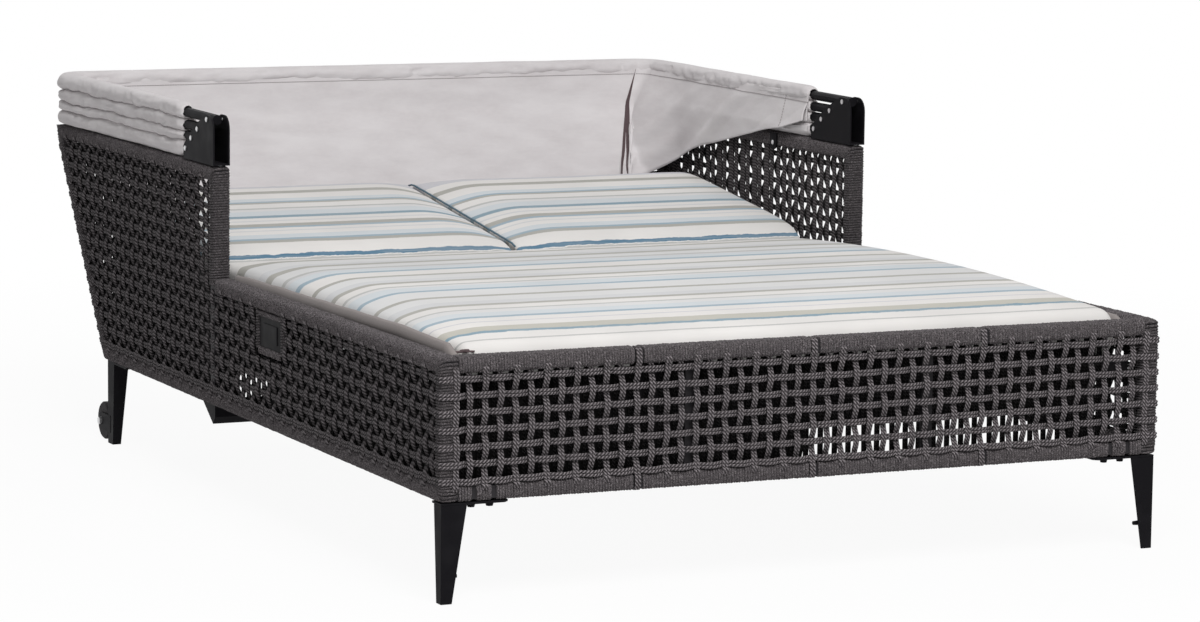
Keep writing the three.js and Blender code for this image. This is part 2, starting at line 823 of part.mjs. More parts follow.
// Seat deck: a tube frame with slats, hinge ears on its rear tube
const backHalf = { near: centreGap, far: deckHalfWidth - backSideGap };
const earPlaces = [backHalf.near + backTube + runningGap, backHalf.far - backTube - runningGap];

function seatDeck() {
  const w = deckTubeWidth;
  const bays = [
    [deckFrontY + w, deckPostY[0]],
    [deckPostY[1], deckRearY - w],
  ];
  const windows = [-1, 1].flatMap((hand) =>
    bays.map(([y0, y1]) =>
      blockOnSide(
        hand,
        w / 2,
        deckHalfWidth - w,
        y0,
        y1,
        deckBottom - cutOverrun,
        deckTop + cutOverrun,
      ),
    ),
  );
  const sheet = block(
    [-deckHalfWidth, deckFrontY, deckBottom],
    [deckHalfWidth, deckRearY, deckTop],
  );
  const frame = cut(sheet, windows);
  const slatTop = deckTop - slatDrop;
  const slats = spread(deckFrontY + w / 2, deckRearY - w / 2, seatSlats + 1).map((y) =>
    block(
      [-deckHalfWidth + w / 2, y - slatWidth / 2, slatTop - slatThickness],
      [deckHalfWidth - w / 2, y + slatWidth / 2, slatTop],
    ),
  );
  const ears = [-1, 1].flatMap((hand) =>
    earPlaces.map((x, i) => {
      const [near, far] = i ? [x - earThickness, x] : [x, x + earThickness];
      const plate = blockOnSide(
        hand,
        near,
        far,
        deckRearY - w / 2,
        hingeY,
        hingeZ - earRadius,
        hingeZ + earNeck,
      );
      const round = rod([hand * near, hingeY, hingeZ], [hand * far, hingeY, hingeZ], earRadius, 12);
      return join(plate, round);
    }),
  );
  const bore = hole(
    [-deckHalfWidth, hingeY, hingeZ],
    [deckHalfWidth, hingeY, hingeZ],
    hingeRodRadius,
  );
  return cut(join(frame, slats, ears), bore);
}
piece("seat_deck", seatDeck(), finish.tube);

// Backrests are drawn lying along +Y from the hinge, then leaned up by the rest incline
function leaned(body) {
  const turn = new THREE.Matrix4().makeRotationX(incline);
  const place = new THREE.Matrix4().makeTranslation(0, hingeY, hingeZ);
  return body.transform(place.multiply(turn).elements);
}

const halfTube = backTube / 2;

function backrest(hand) {
  const { near, far } = backHalf;
  const bar = (x0, x1, s0, s1, n0, n1) => blockOnSide(hand, x0, x1, s0, s1, n0, n1);
  const frame = [
    bar(near, near + backTube, -backNose, backLength, -halfTube, halfTube),
    bar(far - backTube, far, -backNose, backLength, -halfTube, halfTube),
    bar(near, far, backLength - backTube, backLength, -halfTube, halfTube),
  ];
  const slats = backSlatShares.map(([from, to]) =>
    bar(
      near + halfTube,
      far - halfTube,
      from * backLength,
      to * backLength,
      halfTube - backSlatThickness,
      halfTube,
    ),
  );
  const bore = (s, radius) => hole([-deckHalfWidth, s, 0], [deckHalfWidth, s, 0], radius);
  return leaned(
    cut(
      join(frame, slats),
      bore(0, hingeRodRadius),
      bore(propReach, propRodRadius),
    ),
  );
}

// Hinge rod along X through the ears and the side tubes
const hingeRod = (hand) =>
  rod(
    [hand * (backHalf.near - rodProud), hingeY, hingeZ],
    [hand * (backHalf.far + rodProud), hingeY, hingeZ],
    hingeRodRadius,
  );

// Prop bail: as long as its pivot is from the hinge, so its foot runs level with the hinge
function propBail(hand) {
  const pivot = [hingeY + propReach * Math.cos(incline), hingeZ + propReach * Math.sin(incline)];
  const foot = [hingeY + 2 * propReach * Math.cos(incline), hingeZ];
  const inner = backHalf.near + backTube + propArmInset;
  const outer = backHalf.far - backTube - propArmInset;
  const at = (x, [y, z]) => [hand * x, y, z];
  const r = propRodRadius;
  return join(
    rod(at(inner, pivot), at(inner, foot), r, 8),
    rod(at(outer, pivot), at(outer, foot), r, 8),
    rod(at(inner + r / 2, pivot), at(inner - propArmInset - trunnionLength, pivot), r),
    rod(at(outer - r / 2, pivot), at(outer + propArmInset + trunnionLength, pivot), r),
    rod(at(centreGap / 2, foot), at(outer + propArmInset, foot), r, 8),
  );
}

// Notched rack from under the deck's rear tube to the ledger of the rear wall
function rack(x0, x1) {
  const top = hingeZ - propRodRadius - runningGap;
  const low = ledgerZ[1] + runningGap;
  const shoulder = hingeZ - Math.hypot(backNose, halfTube) - swingClearance;
  const endDepth = wallInner - studDepth + swingClearance;
  const lastToothY = hingeY + 2 * propReach * Math.cos(incline);
  const liftedFootY = hingeY + 2 * propReach * Math.cos(incline + travel);
  const rackFirstToothY = liftedFootY - propRodRadius - rackFrontMargin;
  const pitch = (lastToothY - rackFirstToothY) / rackTeeth;
  const outline = [
    [deckRearY - deckTubeWidth, low],
    [wallY(low, endDepth), low],
    [wallY(top, endDepth), top],
  ];
  for (let i = rackTeeth; i > 0; i--) {
    const y = rackFirstToothY + pitch * i;
    outline.push([y - pitch / 2, top], [y - pitch / 2, top - toothDepth]);
    outline.push([y - pitch, top - toothDepth], [y - pitch, top]);
  }
  outline.push([rackFirstToothY - pitch / 2, top], [rackFirstToothY - pitch, shoulder]);
  outline.push([deckRearY, shoulder], [deckRearY, deckBottom - runningGap]);
  outline.push([deckRearY - deckTubeWidth, deckBottom - runningGap]);
  return side(outline, x0, x1);
}

for (const [hand, suffix] of [[-1, "left"], [1, "right"]]) {
  piece(`backrest_frame_${suffix}`, backrest(hand), finish.tube);
  piece(`hinge_rod_${suffix}`, hingeRod(hand), finish.steel);
  piece(`prop_bail_${suffix}`, propBail(hand), finish.steel);
  const outer = backHalf.far - backTube - propArmInset * 2;
  const [x0, x1] = [hand * outer, hand * (outer - rackWidth)].sort((a, b) => a - b);
  piece(`prop_rack_${suffix}`, rack(x0, x1), finish.tube);
}
piece("prop_rack_centre", rack(-rackWidth / 2, rackWidth / 2), finish.tube);

// Cushions: crowned, with rounded corners and sides that draw in between them
function cushionRing(x0, x1, y0, y1, inset, z) {
  const corner = Math.max(cushionCorner - inset, cushionCorner / 4);
  const [a, b, c, d] = [x0 + inset, x1 - inset, y0 + inset, y1 - inset];
  const corners = [
    [b - corner, c + corner, -Math.PI / 2],
    [b - corner, d - corner, 0],
    [a + corner, d - corner, Math.PI / 2],
    [a + corner, c + corner, Math.PI],
  ];
  const middles = [[b, (c + d) / 2], [(a + b) / 2, d], [a, (c + d) / 2], [(a + b) / 2, c]];
  const pulls = [[-cushionPull, 0], [0, -cushionPull], [cushionPull, 0], [0, cushionPull]];
  const points = [];
  corners.forEach(([x, y, start], i) => {
    for (let k = 0; k <= cornerSteps; k++) {
      const angle = start + (k / cornerSteps) * (Math.PI / 2);
      points.push([x + corner * Math.cos(angle), y + corner * Math.sin(angle)]);
    }
    points.push([middles[i][0] + pulls[i][0], middles[i][1] + pulls[i][1]]);
  });
  return points.map(([x, y]) => new THREE.Vector3(x, y, z));
}

function cushion(x0, x1, y0, y1, low) {
  const top = low + cushionThickness;
  const reach = Math.min(x1 - x0, y1 - y0) / 2;
  const levels = [
    [cushionEdge, low],
    [0, low + cushionEdge],
    [0, top - cushionEdge],
    [cushionEdge / 3, top - cushionEdge / 3],
    [cushionEdge, top],
    ...crownShares.map(([inward, rise]) => [reach * inward, top + cushionCrown * rise]),
  ];
  return loft(levels.map(([inset, z]) => cushionRing(x0, x1, y0, y1, inset, z)));
}

const noseRadius = halfTube + runningGap + cushionThickness;

function seatCushion() {
  const pad = cushion(
    -deckHalfWidth + seatSideGap,
    deckHalfWidth - seatSideGap,
    innerFootY + seatFrontGap,
    hingeY - seatHingeGap,
    deckTop + runningGap,
  );
  const scoop = rod(
    [-halfWidth, hingeY, hingeZ],
    [halfWidth, hingeY, hingeZ],
    noseRadius + scoopClearance,
    noseSides,
  );
  return cut(pad, scoop);
}

// Back cushion: its front edge is rounded about the hinge, and cut where it would meet the deck
function backCushion(hand) {
  const outer = backHalf.far + backCushionOverhang;
  const [x0, x1] = [hand * backCushionInner, hand * outer].sort((a, b) => a - b);
  const low = halfTube + runningGap;
  const pad = cushion(x0, x1, -cushionEdge, backLength - backCushionEndGap, low);
  const ahead = block([x0, -noseRadius * 2, -noseRadius], [x1, 0, noseRadius * 2]);
  const nose = rod(
    [x0 + cushionPull, 0, 0],
    [x1 - cushionPull, 0, 0],
    noseRadius - noseClearance,
    noseSides,
  );
  const noseFront = nose.intersect(
    block([x0, -noseRadius, low], [x1, cutOverrun, noseRadius]),
  );
  const body = join(cut(pad, ahead), noseFront);
  const size = noseRadius * 3;
  const floor = block(
    [x0 - cutOverrun, -size, -size],
    [x1 + cutOverrun, size, deckTop - hingeZ + swingClearance],
  );
  const deckAtFullLift = floor.transform(
    new THREE.Matrix4().makeRotationX(-travel - incline).elements,
  );
  const front = block([x0 - cutOverrun, -size, -size], [x1 + cutOverrun, 0, size]);
  return leaned(cut(body, deckAtFullLift.intersect(front)));
}

piece("seat_cushion", seatCushion(), finish.stripe);
piece("back_cushion_left", backCushion(-1), finish.stripe);
piece("back_cushion_right", backCushion(1), finish.stripe);

// Canopy brackets: a channel that stands on the arm, its rear edge following the rivets
const rivets = rivetsBehindArmFront.map((behind, i) => ({
  y: armFrontY + behind,
  z: armHeight + rivetsAboveArm[i],
}));
const bracketBase = armHeight + runningGap;
const bracketFront = armFrontY + bracketFrontSetback;

function bracketOutline() {
  const top = bracketBase + bracketHeight;
  const out = bracketMargin / Math.SQRT2;
  const points = [
    [bracketFront, bracketBase],
    [rivets[0].y + bracketMargin, bracketBase],
    [rivets[0].y + bracketMargin, rivets[0].z],
    ...rivets.slice(0, 3).map(({ y, z }) => [y + out, z + out]),
    [rivets[3].y + out, top],
  ];
  const centre = [bracketFront + bracketCorner, top - bracketCorner];
  for (let k = 0; k <= bracketCornerSteps; k++) {
    const angle = Math.PI / 2 + (k / bracketCornerSteps) * (Math.PI / 2);
    points.push([
      centre[0] + bracketCorner * Math.cos(angle),
      centre[1] + bracketCorner * Math.sin(angle),
    ]);
  }
  return points;
}

function bracket() {
  const outline = bracketOutline();
  const [x0, x1] = [railCentreX - bracketWidth / 2, railCentreX + bracketWidth / 2];
  const cheeks = [side(outline, x0, x0 + bracketSheet), side(outline, x1 - bracketSheet, x1)];
  const web = block(
    [x0, bracketFront, bracketBase],
    [x1, rivets[0].y + bracketMargin, bracketBase + bracketSheet],
  );
  const holes = rivets.map(({ y, z }) =>
    hole([x0 - cutOverrun, y, z], [x1 + cutOverrun, y, z], rivetRadius, rivetSides),
  );
  return cut(join(cheeks, web), holes);
}

// One rivet: a pin through both cheeks with a head on each end
function rivet({ y, z }) {
  const reach = bracketWidth / 2 + runningGap;
  const at = (x) => [railCentreX + x, y, z];
  return join(
    rod(at(-reach - rivetHeadThickness), at(reach + rivetHeadThickness), rivetRadius, rivetSides),
    rod(at(-reach - rivetHeadThickness), at(-reach), rivetHeadRadius),
    rod(at(reach), at(reach + rivetHeadThickness), rivetHeadRadius),
  );
}

for (const [hand, suffix] of [[-1, "left"], [1, "right"]]) {
  piece(`canopy_bracket_${suffix}`, mirrorX(bracket(), hand), finish.black);
  rivets.forEach((place, i) =>
    piece(`bow_rivet_${suffix}_${i + 1}`, mirrorX(rivet(place), hand), finish.steel),
  );
}

// Bows: a U of tube in a plane through its rivets, lying back over the arms and the rear wall
const bowRearY = headY - bowRearSetback;

function bowPlane(i) {
  const { y, z } = rivets[i];
  const rearZ = armHeight + bowRearHeights[i];
  const reach = Math.hypot(bowRearY - y, rearZ - z);
  const [cos, sin] = [(bowRearY - y) / reach, (rearZ - z) / reach];
  const place = (x, along, up = 0) =>
    new THREE.Vector3(x, y + along * cos - up * sin, z + along * sin + up * cos);
  return { y, z, reach, place };
}

// Stations along a U from a start on the left arm to the same place on the right arm
function uPath(start, reach, straightSteps, rearSteps) {
  const r = bowBendRadius;
  const stations = [];
  for (let k = 0; k < straightSteps; k++) {
    const along = start + ((reach - r - start) * k) / straightSteps;
    stations.push({ x: -railCentreX, along, dx: -1, dy: 0 });
  }
  for (let k = 0; k <= bowBendSteps; k++) {
    const a = (k / bowBendSteps) * (Math.PI / 2);
    stations.push({
      x: -railCentreX + r - r * Math.cos(a),
      along: reach - r + r * Math.sin(a),
      dx: -Math.cos(a),
      dy: Math.sin(a),
    });
  }
  for (let k = 1; k < rearSteps; k++)
    stations.push({
      x: (-railCentreX + r) * (1 - (2 * k) / rearSteps),
      along: reach,
      dx: 0,
      dy: 1,
    });
  const mirrored = stations.map(({ x, along, dx, dy }) => ({ x: -x, along, dx: -dx, dy }));
  const middle = rearSteps - 1;
  return [...stations, ...mirrored.slice(0, stations.length - middle).reverse()];
}

// Sweeps a section along the U: half width across the plane's side, heights up and down
function sweepU(plane, stations, section, sides) {
  return loft(
    stations.map((s, index) => {
      const { half, up, down } = section(s, index);
      return Array.from({ length: sides }, (_, k) => {
        const angle = (k / sides) * Math.PI * 2;
        const across = half * Math.cos(angle);
        const rise = Math.sin(angle) * (Math.sin(angle) > 0 ? up : down);
        return plane.place(s.x + s.dx * across, s.along + s.dy * across, rise);
      });
    }),
  );
}

function bow(i) {
  const plane = bowPlane(i);
  const tube = sweepU(
    plane,
    uPath(0, plane.reach, 1, 1),
    () => ({ half: bowTubeRadius, up: bowTubeRadius, down: bowTubeRadius }),
    8,
  );
  const socketEnd = bowSocketLength - rivetsBehindArmFront[i];
  const sockets = [-railCentreX, railCentreX].map((x) =>
    rod(
      plane.place(x, -bowStub).toArray(),
      plane.place(x, socketEnd).toArray(),
      bowSocketRadius,
    ),
  );
  const bore = hole(
    [-halfWidth, plane.y, plane.z],
    [halfWidth, plane.y, plane.z],
    rivetRadius,
    rivetSides,
  );
  return cut(join(tube, sockets), bore);
}

const topBow = rivets.length - 1;

// Where gore i stands beside the arm: the lowest bow's gore is nearest the arm
const goreX = (i) => innerFaceX - goreSideFirst - i * (clothThickness + goreGap);

function sleeve(i, plane) {
  const start = sleeveStart - rivetsBehindArmFront[i];
  const stations = uPath(start, plane.reach, 3, 6);
  const topExtra = i === topBow ? topSleeveExtra : 0;
  return sweepU(
    plane,
    stations,
    ({ along }, index) => {
      const far = (along - start) / (plane.reach - start);
      const height = sleeveHalfNear + (sleeveHalfFar - sleeveHalfNear) * far;
      const pucker = index % 2 ? sleevePucker : 0;
      return {
        half: sleeveHalfWidth - pucker * 2,
        up: height + topExtra * far - pucker,
        down: height - pucker,
      };
    },
    8,
  );
}

function sleeveBore(i, plane) {
  const start = sleeveStart - rivetsBehindArmFront[i] - cutOverrun;
  const radius = (bowTubeRadius + runningGap) / Math.cos(Math.PI / 8);
  const section = () => ({ half: radius, up: radius, down: radius });
  return sweepU(plane, uPath(start, plane.reach, 1, 1), section, 8);
}

// Gore: cloth that hangs inside the bow, along both arms and the leaning wall
function gore(i, plane) {
  const x1 = goreX(i);
  const x0 = x1 - clothThickness;
  const startY = armFrontY + sleeveStart;
  const topY = bowRearY - sleeveHalfWidth + clothThickness;
  const rearTop = plane.place(0, plane.reach).z;
  const startTop = plane.place(0, sleeveStart - rivetsBehindArmFront[i]).z;
  const layer = topBow - i;
  const hemZ = goreHemHeight + layer * goreHemRise;
  const hemY = wallY(hemZ, railHeight) - goreHemAheadOfWall + layer * goreHemSpacing;
  const frontHemZ = Math.min(startTop - cordWall * 2, armHeight + rivetsAboveArm[3] - goreDropFront);
  const panel = [
    [startY, startTop],
    [startY, frontHemZ],
    [hemY, hemZ],
    [topY, rearTop],
  ];
  const sides = [-1, 1].map((hand) => onSide(hand, panel, x0, x1));
  const hem = [-1, 1].map((hand) =>
    onSide(
      hand,
      [
        [startY, startTop - clothThickness / 2],
        [bowRearY - bowBendRadius, rearTop - clothThickness / 2],
        [bowRearY - bowBendRadius, rearTop + clothThickness / 2],
        [startY, startTop + clothThickness / 2],
      ],
      x0,
      railCentreX - bowTubeRadius - clothThickness,
    ),
  );
  const steps = i === topBow ? goreWaves * 4 : 1;
  const wave = i === topBow ? goreWave : 0;
  const rings = Array.from({ length: steps + 1 }, (_, k) => {
    const x = -x1 + (2 * x1 * k) / steps;
    const fold = (wave * (1 - Math.cos((k / steps) * Math.PI * 2 * goreWaves))) / 2;
    return [
      [hemY - fold - clothThickness, hemZ],
      [hemY - fold, hemZ],
      [topY, rearTop],
      [topY - clothThickness, rearTop],
    ].map(([y, z]) => new THREE.Vector3(x, y, z));
  });
  return join(sides, hem, loft(rings));
}

rivets.forEach((_, i) => {
  const plane = bowPlane(i);
  piece(`canopy_bow_${i + 1}`, bow(i), finish.black);
  const cloth = cut(join(sleeve(i, plane), gore(i, plane)), sleeveBore(i, plane));
  piece(`canopy_cloth_${i + 1}`, cloth, finish.cloth);
});

export default daybed;
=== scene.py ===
"""Outdoor daybed with a fold-down canopy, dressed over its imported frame.

Metres, +Z up, X across the width, the foot end towards -Y, the origin on the ground.
"""

from __future__ import annotations

import json
import logging
import math
from dataclasses import dataclass
from enum import Enum
from typing import Callable, Iterable, Sequence

import bmesh
import bpy
import numpy as np
from mathutils import Matrix, Vector, noise

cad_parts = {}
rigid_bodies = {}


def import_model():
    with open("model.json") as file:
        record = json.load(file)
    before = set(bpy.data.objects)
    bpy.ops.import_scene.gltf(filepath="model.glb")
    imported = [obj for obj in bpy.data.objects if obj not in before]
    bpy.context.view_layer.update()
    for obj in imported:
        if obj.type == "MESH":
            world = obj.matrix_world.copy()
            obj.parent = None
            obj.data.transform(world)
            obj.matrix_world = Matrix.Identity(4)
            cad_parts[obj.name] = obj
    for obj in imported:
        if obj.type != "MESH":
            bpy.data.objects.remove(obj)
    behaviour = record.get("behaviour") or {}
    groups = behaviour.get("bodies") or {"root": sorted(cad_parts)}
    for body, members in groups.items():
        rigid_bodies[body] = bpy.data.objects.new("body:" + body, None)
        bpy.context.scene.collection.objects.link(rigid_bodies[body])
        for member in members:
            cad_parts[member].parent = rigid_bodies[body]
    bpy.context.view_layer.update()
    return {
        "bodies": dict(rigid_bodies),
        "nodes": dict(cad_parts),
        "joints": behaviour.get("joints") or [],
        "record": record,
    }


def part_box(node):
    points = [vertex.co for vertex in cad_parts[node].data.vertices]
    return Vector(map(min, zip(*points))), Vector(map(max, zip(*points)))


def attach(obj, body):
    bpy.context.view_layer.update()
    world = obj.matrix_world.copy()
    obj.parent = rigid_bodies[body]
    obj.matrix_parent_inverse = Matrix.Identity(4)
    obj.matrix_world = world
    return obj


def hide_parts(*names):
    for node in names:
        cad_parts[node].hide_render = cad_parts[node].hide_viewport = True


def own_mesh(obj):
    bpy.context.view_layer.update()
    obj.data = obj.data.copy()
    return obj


log = logging.getLogger("daybed")

MM = 0.001
SEED = 7
STITCH_SHARE = 0.72
Point = tuple[float, float, float]
Chain = list[Point]
Place = Callable[[float, float, float], Vector]
Opening = Callable[[float, float], bool]
Pair = tuple[float, float]
Node = bpy.types.Node
Socket = bpy.types.NodeSocket
Material = bpy.types.Material
Object = bpy.types.Object
UPWARD, DOWNWARD, FORWARD, REARWARD = (0, 1), (0, -1), (-1, 0), (1, 0)


class Side(Enum):
    """The two long sides of the bed, with the sign of their X."""

    LEFT = -1
    RIGHT = 1

    @property
    def label(self) -> str:
        """Name as the CAD nodes spell it."""
        return self.name.lower()


@dataclass(frozen=True)
class Layout:
    """Main planes of the bed, most of them read from the frame."""

    half_width: float
    foot_y: float
    head_y: float
    arm_y: float
    leg_z: float
    rim_z: float
    arm_z: float
    deck_z: float
    wall_lean: float = 320 * MM
    rail_width: float = 36 * MM
    rail_height: float = 30 * MM

    @classmethod
    def from_frame(cls) -> "Layout":
        """Read the planes from the rope panels and the deck.

        Returns:
            The layout in metres.
        """
        foot_low, foot_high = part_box("rope_foot")
        arm_low, arm_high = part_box("rope_side_arm_left")
        return cls(
            half_width=-arm_low.x,
            foot_y=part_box("rope_side_low_left")[0].y,
            head_y=arm_high.y,
            arm_y=arm_low.y,
            leg_z=foot_low.z,
            rim_z=foot_high.z,
            arm_z=arm_high.z,
            deck_z=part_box("seat_deck")[1].z,
        )

    @property
    def rail_x(self) -> float:
        """Middle of the side rails, from the middle of the bed."""
        return self.half_width - self.rail_width / 2

    @property
    def slope(self) -> float:
        """Y gained for each metre of height along the leaning rear wall."""
        return self.wall_lean / (self.arm_z - self.leg_z)

    @property
    def slope_cos(self) -> float:
        """Cosine of the rear wall's lean from upright."""
        return 1 / math.hypot(1, self.slope)

    def wall_y(self, z: float, depth: float = 0.0) -> float:
        """Y of the rear wall's outer face at a height, moved in square to it by a depth."""
        return self.head_y - (self.arm_z - z) * self.slope - depth / self.slope_cos


# ---- materials


class Nodes:
    """A node tree under construction."""

    prefix = "ShaderNode"

    def __init__(self, tree: bpy.types.NodeTree) -> None:
        """Keep the tree."""
        self.tree = tree

    def feed(self, socket: Socket, value) -> None:
        """Link another socket to this one, or set its value."""
        if isinstance(value, Socket):
            self.tree.links.new(value, socket)
        else:
            socket.default_value = value

    def node(self, kind: str, links: dict | None = None, **settings) -> Node:
        """Add a node.

        Args:
            kind: Blender's node type, where it is of another family than the tree's
                own, or else its name without the prefix.
            links: Input names or numbers with a socket to link or a value to set.
            settings: Node properties.

        Returns:
            The node.
        """
        made = self.tree.nodes.new(kind if "Node" in kind else self.prefix + kind)
        for key, value in settings.items():
            setattr(made, key, value)
        for key, value in (links or {}).items():
            self.feed(made.inputs[key], value)
        return made

    def math(self, kind: str, a, b=0.0) -> Socket:
        """A math node on two sockets or values."""
        return self.node("ShaderNodeMath", {0: a, 1: b}, operation=kind).outputs[0]


class Shading(Nodes):
    """A shader tree under construction."""

    def span(
        self, value, low: float, high: float, to_low: float = 0.0, to_high: float = 1.0
    ) -> Socket:
        """Map a value's range onto another, clamped."""
        links = {0: value, 1: low, 2: high, 3: to_low, 4: to_high}
        return self.node("MapRange", links).outputs[0]

    def looked_at(self) -> Socket:
        """1 where the camera, gloss or a see-through surface looks at it, or else 0."""
        rays = self.node("LightPath").outputs
        seen = self.math("MAXIMUM", rays["Is Camera Ray"], rays["Is Glossy Ray"])
        return self.math("MAXIMUM", seen, rays["Is Transmission Ray"])


class Paint(Shading):
    """A node material under construction, on a principled shader."""

    def __init__(self, name: str) -> None:
        """Start an empty material with one principled shader."""
        self.material = bpy.data.materials.new(name)
        self.material.use_nodes = True
        super().__init__(self.material.node_tree)
        self.shader = self.tree.nodes["Principled BSDF"]

    def set(self, **values) -> None:
        """Set or link the shader's sockets, written with underscores for spaces."""
        for key, value in values.items():
            self.feed(self.shader.inputs[key.replace("_", " ")], value)

    def place(self) -> Socket:
        """Object coordinates."""
        return self.node("TexCoord").outputs["Object"]

    def attribute(self, name: str, output: str = "Fac") -> Socket:
        """A named attribute of the mesh."""
        return self.node("Attribute", attribute_name=name).outputs[output]

    def noise(
        self, scale: float, detail: float = 2.0, at=None, stretch: Point | None = None
    ) -> Socket:
        """Noise on object coordinates.

        Args:
            scale: Waves for each metre.
            detail: Octaves.
            at: Another coordinate socket.
            stretch: Scale of the coordinates along each axis.

        Returns:
            The noise value from 0 to 1.
        """
        where = at or self.place()
        if stretch:
            where = self.node("Mapping", {"Vector": where, "Scale": stretch}).outputs[0]
        made = self.node("TexNoise", {"Vector": where, "Scale": scale, "Detail": detail})
        return made.outputs["Fac"]

    def mix(self, share, a, b) -> Socket:
        """Mix two colours by a share."""
        made = self.node("Mix", data_type="RGBA")
        for number, value in ((0, share), (6, a), (7, b)):
            self.feed(made.inputs[number], value)
        return made.outputs[2]

    def ramp(self, value, stops: Sequence[tuple[float, tuple]], stepped: bool = False) -> Socket:
        """A colour ramp.

        Args:
            value: Socket from 0 to 1.
            stops: Places and colours.
            stepped: Hard edges instead of blends.

        Returns:
            The colour.
        """
        made = self.node("ValToRGB", {0: value})
        bar = made.color_ramp
        bar.interpolation = "CONSTANT" if stepped else "LINEAR"
        while len(bar.elements) < len(stops):
            bar.elements.new(1.0)
        for element, (place, colour) in zip(bar.elements, stops):
            element.position = place
            element.color = colour
        return made.outputs[0]

    def bump(self, height, distance: float, strength: float = 1.0, under=None) -> Socket:
        """A bump of a height socket, laid over another bump where one is given."""
        links = {"Height": height, "Distance": distance, "Strength": strength}
        if under is not None:
            links["Normal"] = under
        return self.node("Bump", links).outputs[0]


def shade(hex_colour: str) -> tuple[float, float, float, float]:
    """Linear colour from a written sRGB one.

    Args:
        hex_colour: Six hexadecimal digits.

    Returns:
        Linear red, green, blue and full alpha.
    """
    values = [int(hex_colour[i : i + 2], 16) / 255 for i in (0, 2, 4)]
    linear = [v / 12.92 if v <= 0.04045 else ((v + 0.055) / 1.055) ** 2.4 for v in values]
    return (*linear, 1.0)


@dataclass(frozen=True)
class RopeFinish:
    """Charcoal garden rope: strands twisted round the cord, matt, with painted shade in the grooves between
    strands and painted shade on cords marked by an attribute.
    """

    body: str = "8F888B"
    groove: str = "0C0A0B"
    light: str = "A0999B"
    dusty: str = "565153"
    lay: float = 6.4 * MM
    strands: int = 2
    turn_name: str = "cord_turn"
    along_name: str = "cord_along"
    # Attribute of painted shade on each cord point: 0 keeps the rope colour, 1 darkens it almost to black.
    dim_name: str = "cord_dim"
    dimmest: float = 0.1
    fray: float = 0.5
    name: str = "rope charcoal twisted"

    def build(self) -> Material:
        """Make the material."""
        paint = Paint(self.name)
        turn = paint.attribute(self.turn_name, "Vector")
        parts = paint.node("SeparateXYZ", {0: turn}).outputs
        angle = paint.math("ARCTAN2", parts[1], parts[0])
        along = paint.math("MULTIPLY", paint.attribute(self.along_name), 2 * math.pi / self.lay)
        phase = paint.math("ADD", paint.math("MULTIPLY", angle, float(self.strands)), along)
        phase = paint.math("ADD", phase, paint.math("MULTIPLY", paint.noise(240, 1), self.fray))
        strand = paint.span(paint.math("SINE", phase), -0.15, 0.85)
        fuzz = paint.noise(900, 3)
        patch = paint.noise(14, 2)
        # Painted shade: the near-black groove colour darkens the cord between its twisted strands.
        painted_shade_tone = paint.mix(strand, shade(self.groove), shade(self.body))
        lighter = paint.mix(paint.span(fuzz, 0.4, 0.75, 0.0, 0.4), painted_shade_tone, shade(self.light))
        worn = paint.mix(paint.span(patch, 0.3, 0.7, 0.0, 0.3), lighter, shade(self.dusty))
        # Painted shade: mix the rope colour towards near black by the cord's painted-shade attribute.
        dim = paint.span(paint.attribute(self.dim_name), 0.0, 1.0, 0.0, 1 - self.dimmest)
        colour = paint.mix(dim, worn, (0.001, 0.001, 0.001, 1))
        bump = paint.bump(strand, 0.9 * MM, 0.9)
        bump = paint.bump(fuzz, 0.3 * MM, 0.5, bump)
        paint.set(Base_Color=colour, Roughness=0.85, Normal=bump)
        paint.set(Sheen_Weight=0.06, Sheen_Roughness=0.5, Specular_IOR_Level=0.08)
        return paint.material


@dataclass(frozen=True)
class MetalFinish:
    """Powder coat or bare steel, with fine grain and faint lighter rubbed patches."""

    name: str
    colour: str
    roughness: float
    metallic: float = 0.0
    grain: float = 700.0
    grain_depth: float = 0.05 * MM
    brushed: bool = False
    specular: float = 0.5

    def build(self) -> Material:
        """Make the material."""
        paint = Paint(self.name)
        grain = paint.noise(self.grain, 3, stretch=(1, 1, 0.08) if self.brushed else None)
        wear = paint.noise(26, 4)
        base = shade(self.colour)
        lift = tuple(min(1.0, c * 1.6 + 0.01) for c in base[:3]) + (1.0,)
        colour = paint.mix(paint.span(wear, 0.45, 0.8, 0.0, 0.35), base, lift)
        rough = paint.span(wear, 0.3, 0.7, self.roughness - 0.06, self.roughness + 0.08)
        paint.set(Base_Color=colour, Metallic=self.metallic, Roughness=rough)
        paint.set(Normal=paint.bump(grain, self.grain_depth, 0.5), Specular_IOR_Level=self.specular)
        return paint.material


class Dye(Enum):
    """Yarn colours of the striped cloth."""

    CREAM = "EAE7E4"
    CHALK = "E0E0E0"
    PALE = "D3DADF"
    MIST = "D5D6D8"
    TAUPE = "A6A49C"
    OLIVE = "BFBCB0"
    STONE = "B9B9B7"
    LAVENDER = "CDCCD2"
    BLUE = "8FA9B9"
    TEAL = "6F93A5"
    DEEP = "33708F"


Band = tuple[int, Dye]


def bands(**starts: tuple[int, ...]) -> tuple[Band, ...]:
    """Stripes in their order, from the millimetres at which each dye's stripes begin."""
    return tuple(sorted((mm, Dye[name.upper()]) for name, begins in starts.items() for mm in begins))


